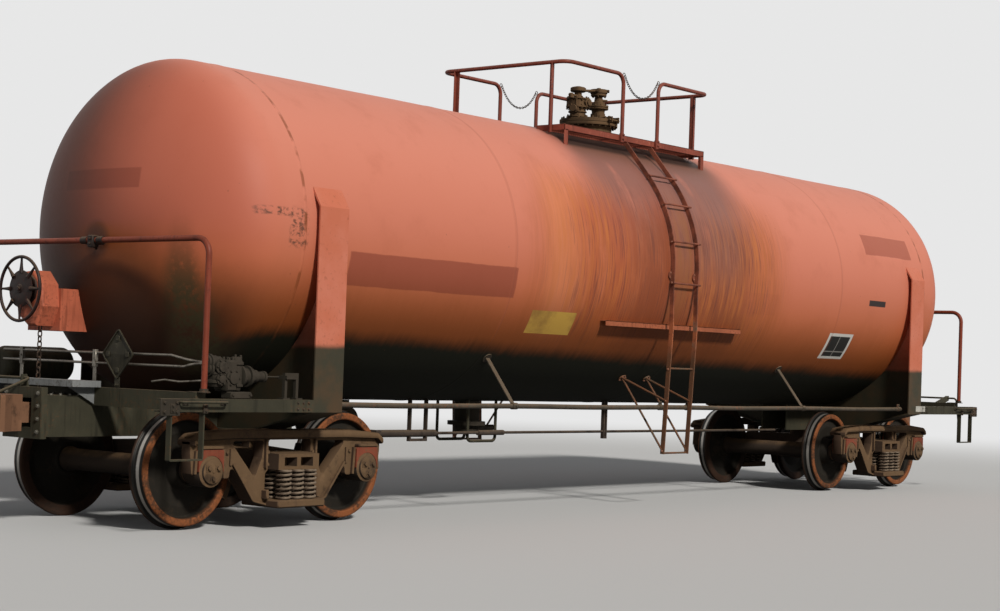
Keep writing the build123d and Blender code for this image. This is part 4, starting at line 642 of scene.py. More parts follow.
class TankPaint(Finish):
    """The tank's faded red paint. Metres along it and degrees round it place each mark: 0 is level with
    the axis and 90 is the crown."""

    def __init__(self):
        super().__init__("tank_paint")
        self.tone = colours()
        self.height = self.z - TANK_Z
        turn = self.node("ShaderNodeMath", {"operation": "ARCTAN2"}, {0: self.height, 1: abs(self.y)})
        self.angle = turn * (180 / math.pi)
        self.near = self.y.rise(0.05, -0.05)
        self.head = abs(self.x).rise(SHELL_HALF - 0.1, SHELL_HALF + 0.4)
        self.brake_head = self.x.rise(-SHELL_HALF, -SHELL_HALF - 0.3)
        self.cloud = self.noise(0.55, 5.0, 0.55)
        self.patchy = self.noise(2.3, 6.0, 0.62)
        self.fine = self.noise(24.0, 6.0, 0.7)
        self.broad = self.runs(3.2, 0.02, 3.0, 5.0, 0.6)
        self.run = self.runs(15.0, 0.03, 5.0, 5.0, 0.65)
        self.thin = self.runs(55.0, 0.05, 7.0, 3.0, 0.6)

    def runs(self, along, down, side, detail, rough):
        """Noise stretched round the tank, in bands along it."""
        where = self.vector(self.x * along, self.angle * down, self.near * side)
        return self.noise(1.0, detail, rough, where)

    def zone(self, x_from, x_to, fade, top, bottom):
        """A stretch of the tank. Top and bottom give the angle where it has gone and where it is whole."""
        return self.x.band(x_from, x_to, fade) * self.angle.rise(*top) * self.angle.rise(*bottom)

    def panel(self, x_from, x_to, low, high, x_edge=0.008, edge=0.3):
        """A rectangle on the near side, between two places along the tank and two angles."""
        return self.x.band(x_from, x_to, x_edge) * self.angle.band(low, high, edge) * self.near

    def paint(self):
        """Bleached towards the crown, deeper red on the heads and browner below."""
        tone = self.tone
        bleached = self.angle.rise(-20, 45) * 0.7 + self.cloud * 0.3
        self.base = self.blend(tone.tank_red, tone.faded_red, bleached)
        self.coat(shade(tone.tank_red, 0.8), self.patchy.rise(0.5, 0.75) * 0.3)
        self.coat(tone.head_red, self.head * 0.85)
        self.coat((0.48, 0.12, 0.02), self.angle.rise(8, -40) * 0.78)

    def rust(self):
        """Rust and stains that run down from the platform, one layer over the other, with painted shade and shadow
        below the platform.
        """
        tone, angle, along = self.tone, self.angle, self.x
        broad, run, thin, patchy = self.broad, self.run, self.thin, self.patchy
        orange = self.zone(-1.9, 1.55, 0.8, (48, 8), (-60, -30))
        stain = along.band(-0.95, 1.05, 0.7) * angle.rise(-6, 34) * mixed(broad, patchy, 0.6).rise(0.2, 0.46)
        pale = self.zone(-2.05, -1.8, 0.35, (44, 20), (-42, -20))
        deep = self.zone(-1.6, -0.15, 0.5, (38, 16), (-42, -20))
        dull = along.band(-0.55, 1.05, 0.6) * angle.band(-34, 14, 16)
        bright = along.band(-2.0, -1.1, 0.3) + along.band(0.35, 1.5, 0.35)
        bright = bright * angle.rise(46, 12) * angle.rise(-46, -20)
        lines = self.zone(-1.75, 1.6, 0.35, (44, 20), (-44, -22))
        grey = along.band(0.05, 0.95, 0.3) * angle.rise(-14, 10)
        # Below the platform: stain with painted shade, and a painted shadow just under its edge.
        stain_and_shade_below_platform = along.band(-1.1, 1.2, 0.3) * angle.rise(42, 60)
        platform_shadow = along.band(-1.16, 1.2, 0.06) * angle.rise(54.5, 58)
        drip = self.zone(-0.16, 0.14, 0.06, (44, 12), (-34, -8))
        # Colour, where it lies, strength.
        for colour, where, strength in (
            (shade(tone.rust_orange, 1.15), orange * broad.rise(0.1, 0.5), 0.8),
            (shade(tone.rust_orange, 0.75), orange * run.rise(0.42, 0.62), 0.55),
            (tone.stain_brown, stain, 0.85),
            ((0.14, 0.065, 0.05), stain * angle.rise(20, 48), 0.3),
            (shade(tone.stain_brown, 0.55), orange * mixed(thin, run, 0.55).rise(0.5, 0.4), 0.35),
            ((0.68, 0.23, 0.105), pale, 0.6),
            ((0.35, 0.07, 0.028), deep * mixed(broad, run).rise(0.36, 0.56), 0.5),
            ((0.2, 0.055, 0.024), dull * mixed(broad, patchy).rise(0.25, 0.55), 0.62),
            (tone.rust_bright, bright * mixed(thin, run, 0.35).rise(0.48, 0.62), 0.62),
            ((0.13, 0.036, 0.028), lines * mixed(thin, run, 0.6).rise(0.47, 0.4), 0.4),
            ((0.21, 0.12, 0.105), grey * mixed(broad, thin).rise(0.3, 0.6), 0.4),
            ((0.13, 0.062, 0.036), stain_and_shade_below_platform, 0.75),
            ((0.02, 0.012, 0.009), platform_shadow, 0.85),
            ((0.3, 0.12, 0.045), drip * run.rise(0.36, 0.56), 0.5),
        ):
            self.coat(colour, where * strength)

    def patches(self):
        """Repainted places with uneven edges."""
        edge = (self.patchy - 0.5) * 0.05
        # Place from, place to, angle from, angle to, strength.
        for x_from, x_to, low, high, strength in (
            (-4.9, -2.7, -17.5, -6.5, 0.75),
            (4.05, 5.2, 18.0, 28.0, 0.6),
            (1.2, 1.95, -16.0, -7.0, 0.12),
        ):
            patch = (self.x + edge).band(x_from, x_to, 0.02) * (self.angle + edge * 30).band(low, high, 0.5)
            self.coat(self.tone.repaint_red, patch * self.near * strength)
        patch = self.brake_head * self.y.band(-0.42, 0.49, 0.02) * self.z.band(2.72, 2.87, 0.012)
        self.coat(self.tone.repaint_red, patch * 0.6)

    def boards(self):
        """A blank yellow board, a framed black panel and a small dark tag. Gives where the first two lie."""
        yellow = self.panel(-2.34, -1.66, -31.2, -21.8)
        worn_yellow = self.blend((0.52, 0.31, 0.06), (0.3, 0.16, 0.04), self.patchy.rise(0.42, 0.66))
        self.coat(worn_yellow, yellow)
        framed = self.panel(3.3, 3.86, -36.0, -22.5)
        inside = self.panel(3.35, 3.81, -34.6, -24.0, 0.006, 0.25)
        self.coat((0.62, 0.6, 0.55), framed)
        self.coat((0.022, 0.021, 0.019), inside)
        rules = self.x.band(3.567, 3.577, 0.004).most(self.angle.band(-32.2, -31.8, 0.15))
        self.coat((0.4, 0.38, 0.34), rules * inside * 0.7)
        self.coat((0.03, 0.02, 0.018), self.panel(4.05, 4.45, -7.6, -5.0, 0.006, 0.2))
        return framed.most(yellow)

    def grime_and_shade(self, boards):
        """Road grime and painted shade up to a smoky edge that falls along the car, higher on the heads,
        with thin brown dirt above it that the boards are almost free of. Gives the height above the edge."""
        uneven = (self.cloud - 0.5) * 0.12 + (self.patchy - 0.5) * 0.07 + (self.run - 0.5) * 0.08
        above = self.height - (self.x * -0.0175 + uneven) + 0.95 + self.head * 0.09
        self.coat(self.tone.grime_brown, above.rise(0.68, 0.02) * 0.74 * boards.rise(1.0, 0.1))
        # Near-black below the edge: road grime and painted shade.
        self.coat(self.tone.grime_and_shade, above.rise(0.1, -0.06))
        return above

    def head_marks(self):
        """Grime and painted shade low on the heads, painted shadow and painted shade on the brake end's head, an
        oil streak, a dark patch round the rail's clamp, scratches and specks.
        """
        x, y, z, brake_head = self.x, self.y, self.z, self.brake_head
        uneven = (self.patchy - 0.5) * 0.3 + (self.cloud - 0.5) * 0.3
        # Darker towards the bottom of each head: grime and painted shade.
        low = (self.height + uneven).rise(-0.15, -0.95) * self.head
        # Painted shadow on the lower part of the brake end's head, away from its near edge.
        painted_head_shadow = (self.height + uneven).rise(0.4, -0.7) * y.rise(-1.05, -0.4) * brake_head
        # Painted shade on the far half of the brake end's head, which is turned from the light.
        far_half_shade = brake_head * (y + uneven * 0.6).rise(-0.6, 0.6)
        wander = (self.patchy - 0.5) * 0.1
        streak = (abs(y + 0.83 + wander) / (z * -0.16 + 0.5)).rise(1.25, 0.3)
        streak = streak * z.rise(2.6, 1.85) * brake_head * mixed(self.fine, self.patchy).rise(0.36, 0.56)
        clamp = (y - 0.02) * (y - 0.02) + (z - 2.3) * (z - 2.3)
        marks = x.band(-5.6, -5.45, 0.05) * z.band(2.32, 2.56, 0.06)
        marks = marks.most(x.band(-5.9, -5.5, 0.07) * z.band(2.53, 2.58, 0.016)) * self.near
        scratches = self.noise(1.0, 5.0, 0.7, self.vector(x * 17.0, 0.0, z * 24.0))
        specks = self.specks(9.0).rise(0.085, 0.05) * self.fine.rise(0.52, 0.66)
        # Colour, where it lies, strength.
        for colour, where, strength in (
            ((0.03, 0.012, 0.006), low, 0.95),
            ((0.036, 0.014, 0.007), painted_head_shadow, 0.75),
            ((0.034, 0.013, 0.007), far_half_shade, 0.85),
            (self.tone.oil_green, streak, 0.85),
            ((0.03, 0.016, 0.012), brake_head * clamp.rise(0.035, 0.004), 0.7),
            ((0.055, 0.036, 0.024), marks * scratches.rise(0.46, 0.6), 0.8),
            ((0.14, 0.05, 0.03), specks, 0.6),
        ):
            self.coat(colour, where * strength)

    def seams(self, above):
        """Dark lines along the weld beads, and rust round the bolsters' pads."""
        for seam in SHELL_SEAMS:
            line = abs(self.x - seam).rise(0.03, 0.008) * above.rise(0.05, 0.3)
            self.coat(shade(self.tone.tank_red, 0.55), line * 0.22)
        pad = abs(abs(self.x) - PAD_SEAM).rise(0.022, 0.01) * self.noise(7.0, 4.0).rise(0.4, 0.58)
        self.coat(shade(self.tone.rust_orange, 0.5), pad * above.rise(-0.3, 0.3) * 0.7)


def tank_finish():
    """Paint, rust, patches, boards, grime, marks and painted shade of the tank, in the order they were laid on."""
    own = TankPaint()
    own.paint()
    own.rust()
    own.patches()
    boards = own.boards()
    above = own.grime_and_shade(boards)
    own.head_marks()
    own.seams(above)
    rough = 0.5 + own.fine * 0.12 + above.rise(0.1, -0.06) * 0.2
    return own.done(rough, normal=own.bump(mixed(own.patchy, own.fine, 0.6), 0.12, 0.004))


def bolster_finish():
    """Tank paint above, grime below a smoky edge, and painted shade on the lower web behind the flanges."""
    own = Finish("bolster_paint")
    tone = colours()
    patchy = own.noise(3.0, 6.0, 0.6)
    fine = own.noise(30.0, 5.0, 0.65)
    own.base = own.blend(tone.tank_red, tone.faded_red, patchy.rise(0.35, 0.7) * 0.45)
    own.coat(shade(tone.tank_red, 0.5), fine.rise(0.56, 0.7) * 0.4)
    dark = own.blend(tone.frame_green, shade(tone.truck_dust, 0.6), patchy.rise(0.4, 0.7))
    own.coat(dark, (own.z + (patchy - 0.5) * 0.05).rise(1.53, 1.47))
    # Painted shade on the lower web, behind the side flanges.
    web = abs(own.y).rise(1.44, 1.36) * own.z.rise(1.95, 1.55)
    own.coat(tone.grime_and_shade, web * 0.6)
    return own.done(0.55 + fine * 0.2, normal=own.bump(fine, 0.3, 0.002))


def ladder_finish():
    """Dark red at the top, orange rust lower down, with grey-green patches where the paint has gone."""
    own = Finish("ladder_steel")
    patchy = own.noise(5.0, 5.0, 0.6)
    fine = own.noise(45.0, 5.0, 0.65)
    long_patches = own.noise(1.0, 3.0, 0.6, own.vector(own.x * 3.0, own.y, own.z * 2.4))
    own.base = own.blend((0.26, 0.08, 0.045), (0.12, 0.04, 0.025), patchy.rise(0.4, 0.62))
    rusty = own.blend((0.42, 0.13, 0.055), (0.19, 0.055, 0.028), patchy.rise(0.46, 0.66))
    rusty = own.blend(rusty, (0.15, 0.16, 0.12), long_patches.rise(0.53, 0.6) * 0.9)
    own.coat(rusty, own.z.rise(2.2, 1.8))
    brown = own.blend((0.105, 0.062, 0.036), (0.25, 0.1, 0.042), fine.rise(0.5, 0.66))
    own.coat(brown, own.z.rise(1.72, 1.5) * 0.85)
    own.coat((0.07, 0.03, 0.02), fine.rise(0.54, 0.68) * 0.6)
    return own.done(0.55 + fine * 0.2, normal=own.bump(fine, 0.3, 0.002))


def wheel_finish(number, axle_x):
    """Orange-brown rim with painted shade on its inner side, dark oily plate and a dark tread with a bright
    band of worn steel and painted highlight, by distance from the axle.
    """
    own = Finish(f"wheel_steel_{number}")
    tone = colours()
    out = ((own.x - axle_x) * (own.x - axle_x) + (own.z - AXLE_Z) * (own.z - AXLE_Z)) ** 0.5
    side = abs(own.y)
    cloud = own.noise(4.0, 5.0, 0.6)
    fine = own.noise(40.0, 5.0, 0.7)
    dusty = mixed(cloud, fine, 0.6).rise(0.52, 0.74)
    own.base = own.blend((0.016, 0.013, 0.009), shade(tone.truck_dust, 0.4), dusty)
    rim = own.blend(tone.wheel_rust, (0.06, 0.03, 0.016), mixed(cloud, fine).rise(0.44, 0.62))
    # Painted shade on the rim's inner side.
    rim = own.blend(rim, (0.02, 0.014, 0.01), side.rise(0.79, 0.72) * 0.9)
    own.coat(rim, out.rise(0.385, 0.4))
    # The tread's bright band: worn steel with a painted highlight.
    tread = out.rise(0.4455, 0.4495) * side.band(0.708, 0.8, 0.006)
    bright = side.band(0.744, 0.766, 0.01)
    worn = own.blend(shade(tone.bare_steel, 0.06), shade(tone.bare_steel, 1.1), bright)
    own.coat(worn, tread)
    return own.done(0.78 - tread * 0.36, tread * 0.75, own.bump(fine, 0.3, 0.003))


# Pieces


class CAR_OT_tank(bpy.types.Operator):
    """Tank shell with weld seams and shallow dents"""

    bl_idname = "tank_car.tank"
    bl_label = "Tank"

    def execute(self, context):
        """Radius R along the shell and R cos t over each head, where x = L + H sin t. Dents and
        beads are added to the radius as sines and as bells exp(-(x/w)^2)."""
        own = sizes()
        seams = (-PAD_SEAM, *SHELL_SEAMS, PAD_SEAM)
        bell = np.concatenate([seam + np.linspace(-0.03, 0.03, 9) for seam in seams])
        shell = np.union1d(np.linspace(-SHELL_HALF, SHELL_HALF, 90), bell)
        turn = np.linspace(0, math.pi / 2, 34)[1:-1]
        head_x, head_r = SHELL_HALF + HEAD_DEPTH * np.sin(turn), np.cos(turn)
        x = np.concatenate((-head_x[::-1], shell, head_x))
        radius = np.concatenate((head_r[::-1], np.ones(len(shell)), head_r))
        across, round_it = x[:, None], circle(own.tank_sides)[None, :]
        dents = np.sin(1.9 * across + 2.0 * np.sin(2 * round_it)) * np.cos(3 * round_it + 0.7 * across)
        dents = dents + 0.6 * np.sin(4.3 * across + 5 * round_it) * np.sin(1.1 * across - 4 * round_it)
        beads = sum(np.exp(-(((across - seam) / 0.011) ** 2)) for seam in seams)
        dented = TANK_RADIUS - own.dent_depth + own.dent_depth * dents
        surface = radius[:, None] * dented + own.seam_height * beads
        flat, upright = surface * np.cos(round_it), TANK_Z + surface * np.sin(round_it)
        points = np.stack((np.broadcast_to(across, surface.shape), flat, upright), -1)
        tank = Build()
        tank.grid(points, caps=True)
        tank.piece("tank", "car_body", "tank_paint", tank_finish(), ["tank_shell"], smooth=30)
        return {"FINISHED"}


class CAR_OT_manway(bpy.types.Operator):
    """Manway nozzle, bolted cover and the two valve stacks"""

    bl_idname = "tank_car.manway"
    bl_label = "Manway and valves"

    def execute(self, context):
        low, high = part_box("manway_cover")
        centre = np.array(((low.x + high.x) / 2, 0.0, 0.0))
        radius = (high.x - low.x) / 2
        seat, lid = low.z + 0.073, high.z + 0.053
        dusty = colours().valve_olive
        olive = cast("valve_metal", shade(dusty, 0.45), dusty, 0.7)
        self.manway(centre, radius, seat, lid, olive)
        self.stacks(centre, lid, olive)
        return {"FINISHED"}

    def manway(self, centre, radius, seat, lid, olive):
        """Nozzle and cover are profiles of (height, radius) turned round the upright axis."""
        crown = TANK_Z + TANK_RADIUS
        neck, step, cover_edge = 0.252, 0.27, 0.034
        build = Build()
        nozzle = (
            (crown - 0.09, neck), (seat - 0.038, neck), (seat - 0.038, radius), (seat - 0.004, radius),
            (seat - 0.004, step), (seat, step),
        )
        cover = (
            (seat, radius), (seat + cover_edge, radius), (seat + cover_edge, step), (lid + 0.02, 0.25),
            (lid + 0.02, 0.02),
        )
        build.lathe(bent(nozzle, 0.004, 3), centre, sides=64)
        build.lathe(bent(cover, 0.006, 4), centre, sides=64)
        studs = ring_of(centre + (0, 0, seat + cover_edge), UPWARD, radius - 0.024, 24)
        build.bolts(studs, UPWARD, 0.012, 0.02)
        build.bolts(studs - (0, 0, 0.072), -UPWARD, 0.012, 0.016)
        build.lathe(((-0.08, 0.007), (0.026, 0.007)), axis=UPWARD, sides=8, copies=studs)
        for x in (-0.06, 0.06):
            hinge_low, hinge_high = (x - 0.008, -radius - 0.05, seat - 0.01), (x + 0.008, -0.2, lid + 0.03)
            build.block(centre + hinge_low, centre + hinge_high)
        pin = centre + (0, -radius - 0.025, seat + 0.02)
        build.tube((pin - 0.09 * AHEAD, pin + 0.09 * AHEAD), 0.011)
        eye = ring_of(centre + (0.02, 0.15, lid + 0.03), AHEAD, 0.03, 20)
        build.tube(eye, 0.008, 8, closed=True, flat=AHEAD)
        build.piece("manway", "car_body", "valve_metal", olive, ["manway_nozzle", "manway_cover"])

    def stacks(self, centre, lid, olive):
        """Each stack is a profile of (height, radius) turned round its upright axis, with bolted flanges."""
        left_profile = (
            (0, 0.115), (0.014, 0.115), (0.016, 0.085), (0.05, 0.082), (0.052, 0.1), (0.066, 0.1),
            (0.068, 0.088), (0.1, 0.092), (0.102, 0.124), (0.12, 0.124), (0.123, 0.11), (0.19, 0.108),
            (0.192, 0.124), (0.206, 0.124), (0.209, 0.055), (0.225, 0.042), (0.272, 0.04), (0.276, 0.075),
            (0.285, 0.084), (0.318, 0.084), (0.326, 0.07), (0.336, 0.03),
        )
        right_profile = (
            (0, 0.108), (0.014, 0.108), (0.017, 0.072), (0.06, 0.066), (0.095, 0.07), (0.13, 0.074),
            (0.132, 0.11), (0.148, 0.11), (0.149, 0.1), (0.152, 0.1), (0.153, 0.11), (0.168, 0.11),
            (0.172, 0.074), (0.21, 0.072), (0.214, 0.048), (0.275, 0.042), (0.279, 0.086), (0.3, 0.086),
            (0.302, 0.076), (0.308, 0.094), (0.35, 0.094), (0.355, 0.05), (0.358, 0.024), (0.369, 0.02),
        )
        outlet = ((0, 0.04), (0.03, 0.04), (0.032, 0.026), (0.07, 0.026), (0.074, 0.04), (0.1, 0.036))
        left, right = (centre + (offset, 0, lid + 0.018) for offset in (-0.205, 0.17))
        stacks = Build()
        # Foot, profile, then each flange's height, bolt circle and number of bolts.
        for foot, profile, flanges in (
            (left, left_profile, ((0.014, 0.102, 8), (0.12, 0.115, 12), (0.206, 0.114, 12))),
            (right, right_profile, ((0.014, 0.094, 8), (0.168, 0.1, 10), (0.3, 0.075, 6))),
        ):
            stacks.lathe(bent(profile, 0.004, 3), foot, sides=40)
            for height, bolt_circle, count in flanges:
                spots = ring_of(foot + (0, 0, height), UPWARD, bolt_circle, count)
                stacks.bolts(spots, UPWARD, 0.0095, 0.016)
                stacks.bolts(spots - (0, 0, 0.022), -UPWARD, 0.0095, 0.012)
        # Lever, its post, side outlet and plug of the left stack.
        stacks.block(left + (-0.175, -0.03, 0.216), left + (-0.03, 0.0, 0.24), 0.006)
        stacks.lathe(((0, 0.028), (0.04, 0.03), (0.05, 0.018)), left + (-0.15, -0.02, 0.196), UPWARD, 12)
        stacks.lathe(bent(outlet, 0.003, 3), left + (-0.075, -0.03, 0.082), (-1, -0.35, 0), 16)
        plug = ((0, 0.056), (0.03, 0.056), (0.034, 0.04), (0.05, 0.036))
        stacks.lathe(plug, left + (0.02, -0.1, 0.155), -ACROSS, 6)
        for turn in range(4):
            angle = 0.5 + turn * math.pi / 2
            rib = np.array((math.cos(angle), math.sin(angle), 0))
            lug = left + rib * 0.11
            stacks.block(lug - (0.01, 0.01, -0.12), lug + (0.01, 0.01, 0.19), 0.003)
            low, high = right + rib * 0.06, right + rib * 0.075
            stacks.block(low - (0.01, 0.01, -0.014), high + (0.01, 0.01, 0.09), 0.003)
            stacks.lathe(((0, 0.02), (0.03, 0.018)), right + rib * 0.085 + (0, 0, 0.334), rib, 6)
        # Two stub pipes of the right stack, the nut on the lower one, and the bar between the stacks.
        stacks.tube((right + (0.03, -0.02, 0.235), right + (0.09, -0.05, 0.235)), 0.014, 10)
        stacks.tube((right + (0.05, -0.02, 0.04), right + (0.13, -0.07, 0.05)), 0.018, 10)
        stacks.lathe(((0, 0.03), (0.024, 0.03)), right + (0.11, -0.06, 0.048), (1, -0.46, 0), 8)
        stacks.tube((right + (-0.06, -0.02, 0.33), left + (0.07, 0.0, 0.3)), 0.014, 10)
        stacks.piece("valve_stacks", "car_body", "valve_metal", olive, ["loading_valves"])


class CAR_OT_platform(bpy.types.Operator):
    """Top platform with grating, railing pipes and gate chains"""

    bl_idname = "tank_car.platform"
    bl_label = "Platform, railing and gate chains"

    def execute(self, context):
        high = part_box("top_platform")[1]
        half_x, half_y, top = high.x, high.y, high.z
        pipe_radius, gate_height = 0.021, lift(4.425)
        self.deck(half_x, half_y, top)
        self.railing(half_x, half_y, gate_height, pipe_radius)
        self.gate_chains(half_y + pipe_radius, gate_height)
        return {"FINISHED"}

    def deck(self, half_x, half_y, top):
        """Angles round a grating of upright bars and round cross rods, with a leg below each corner."""
        inner, lip, leg = 0.44, top - 0.062, top - 0.26
        red = weathered("platform_steel", colours().railing_red, (0.42, 0.14, 0.09), dust=0.25, rough=0.6)
        build = Build(CORNERS)
        build.blocks((
            ((0, -half_y, lip), (half_x, -half_y + 0.009, top), 0.002),
            ((0, -half_y, top - 0.008), (half_x, -half_y + 0.05, top), 0.002),
            ((half_x - 0.009, -half_y, lip), (half_x, -inner, top), 0.002),
            ((0, -inner - 0.008, top - 0.05), (half_x, -inner, top), 0.002),
            ((half_x - 0.065, -half_y, leg), (half_x, -half_y + 0.01, top - 0.05), 0.002),
            ((half_x - 0.065, -half_y, leg), (half_x - 0.057, -half_y + 0.03, top - 0.06), 0.002),
            ((0.0, -half_y + 0.01, lip), (half_x, -half_y + 0.04, top - 0.056), 0.001),
        ))
        bars = np.arange(0.02, half_x - 0.02, 0.036)[:, None] * AHEAD
        bar_low, bar_high = (-0.0025, -half_y + 0.01, top - 0.027), (0.0025, -inner, top - 0.002)
        build.block(bar_low, bar_high, 0.0005, copies=bars)
        for y in np.arange(inner + 0.06, half_y - 0.02, 0.1):
            build.tube(((0, -y, top - 0.006), (half_x, -y, top - 0.006)), 0.0035, 6)
        build.piece("platform", "car_body", "platform_steel", red, ["top_platform"])

    def railing(self, half_x, half_y, height, radius):
        """A bent pipe round each end, with an angle post at each corner and bolted feet."""
        paint = shade(colours().railing_red, 0.85)
        pipe = weathered("railing_pipe", paint, (0.1, 0.045, 0.04), dust=0.08, rough=0.4)
        foot, gate = lift(3.72), 0.32
        side_x, side_y = half_x + radius, half_y + radius
        rails = Build(BOTH_ENDS)
        corners = (
            (gate, -side_y, foot), (gate, -side_y, height), (side_x, -side_y, height),
            (side_x, side_y, height), (gate, side_y, height), (gate, side_y, foot),
        )
        rails.tube(bent(corners, 0.11, 10), radius, 20)
        rails.mirrors = CORNERS
        post, head, clip = half_x + 0.01, height - 0.004, -half_y - 0.042
        rails.blocks((
            ((half_x + 0.001, 0.595, foot), (half_x + 0.009, 0.645, head), 0.0015),
            ((half_x + 0.001, 0.637, foot), (half_x + 0.042, 0.645, head), 0.0015),
        ))
        rails.bolts(((post, 0.612, foot + 0.02), (post, 0.612, foot + 0.06)), AHEAD, 0.01)
        rails.block((0.3, -half_y - 0.001, foot + 0.005), (0.34, -half_y - 0.012, foot + 0.09), 0.001)
        rails.bolts(((gate, clip, foot + 0.03), (gate, clip, foot + 0.075)), -ACROSS, 0.011)
        rails.piece("railing", "car_body", "railing_pipe", pipe, ["top_railing"])

    def gate_chains(self, side_y, height):
        """Links along a catenary, depth (cosh st - cosh s) / (cosh s - 1) for t from -1 to 1, between
        two end rings."""
        depth, slack, half_wide, count = 0.2, 1.6, 0.3, 40
        chains = Build(BOTH_SIDES)
        t = np.linspace(-1, 1, count)
        sag = depth * (np.cosh(slack * t) - math.cosh(slack)) / (math.cosh(slack) - 1)
        path = np.stack((half_wide * t, np.full(count, -side_y), height - 0.01 + sag), -1)
        chains.links(path, sizes().chain_pitch, 0.0034, 0.02)
        for x in (-0.315, 0.315):
            ring = ring_of((x, -side_y, height - 0.005), ACROSS, 0.02, 16)
            chains.tube(ring, 0.004, 8, closed=True, flat=ACROSS)
        iron, rust = (0.06, 0.045, 0.035), (0.2, 0.09, 0.05)
        dark = weathered("chain_steel", iron, rust, dust=0.1, rough=0.5, metal=0.4)
        chains.piece("platform_chains", "car_body", "chain_steel", dark, ["gate_chains"])


class CAR_OT_wheelsets(bpy.types.Operator):
    """Wheels, axles and bearing cups of the four wheelsets"""

    bl_idname = "tank_car.wheelsets"
    bl_label = "Wheelsets"

    def execute(self, context):
        """Wheel and axle are profiles of (distance from the car's middle, radius) turned round the axle."""
        rim, flange = 0.4572, 0.0254
        back, face = 0.674, 0.819
        axle_end = 1.124
        wheel_profile = (
            (back - 0.014, 0.104), (back - 0.014, 0.14), (back + 0.03, 0.152), (back + 0.07, 0.3),
            (back + 0.05, 0.385), (back + 0.002, 0.392), (back, rim), (back + 0.004, rim + flange),
            (back + 0.032, rim + flange), (back + 0.038, rim + 0.003), (face - 0.006, rim - 0.005),
            (face, rim - 0.016), (face, 0.397), (back + 0.082, 0.38), (back + 0.096, 0.3),
            (back + 0.062, 0.16), (face + 0.02, 0.14), (face + 0.02, 0.104),
        )
        half_axle = (
            (0, 0.088), (0.6, 0.092), (0.64, 0.1045), (0.86, 0.1045), (0.862, 0.082), (0.88, 0.112),
            (0.912, 0.113), (0.915, 0.125), (1.095, 0.125), (1.098, 0.1), (1.118, 0.097), (axle_end, 0.05),
        )
        wheel_profile = bent(wheel_profile, 0.014, 5, closed=True)
        half_axle = bent(half_axle, 0.004, 3)
        whole_axle = np.concatenate((half_axle[::-1] * (-1, 1), half_axle[1:]))
        iron = cast("axle_steel", (0.05, 0.035, 0.025), colours().truck_dust)
        for number, axle_x in WHEELSETS:
            body = f"wheelset_{number}"
            origin = np.array((axle_x, 0.0, AXLE_Z))
            wheels = Build()
            for side in (1, -1):
                wheels.lathe(wheel_profile * (side, 1), origin, ACROSS, 96, closed=True)
            steel = wheel_finish(number, axle_x)
            wheels.piece(f"wheel_pair_{number}", body, "wheel_steel", steel, [f"wheels_{number}"])
            axle = Build()
            axle.lathe(whole_axle, origin, ACROSS, 48)
            for side in (-1, 1):
                self.end_cap(axle, origin + ACROSS * side * axle_end, ACROSS * side)
            axle.piece(f"axle_with_bearings_{number}", body, "axle_steel", iron, [f"axle_{number}"])
        return {"FINISHED"}

    def end_cap(self, axle, end, out):
        """Three cap screws on a circle, each on a locking plate, and a small plug in the middle."""
        screw_circle, start = 0.055, 0.5
        axle.bolts(ring_of(end, out, screw_circle, 3, start), out, 0.021, 0.02)
        axle.bolts(end - out * 0.002, out, 0.012, 0.008)
        for lock in range(3):
            turn = start + lock * 2 * math.pi / 3
            screw = end + np.array((math.cos(turn), 0, math.sin(turn))) * screw_circle
            axle.block(screw - 0.03 + (0, 0.029, 0), screw + 0.03 - (0, 0.029, 0), 0.002)


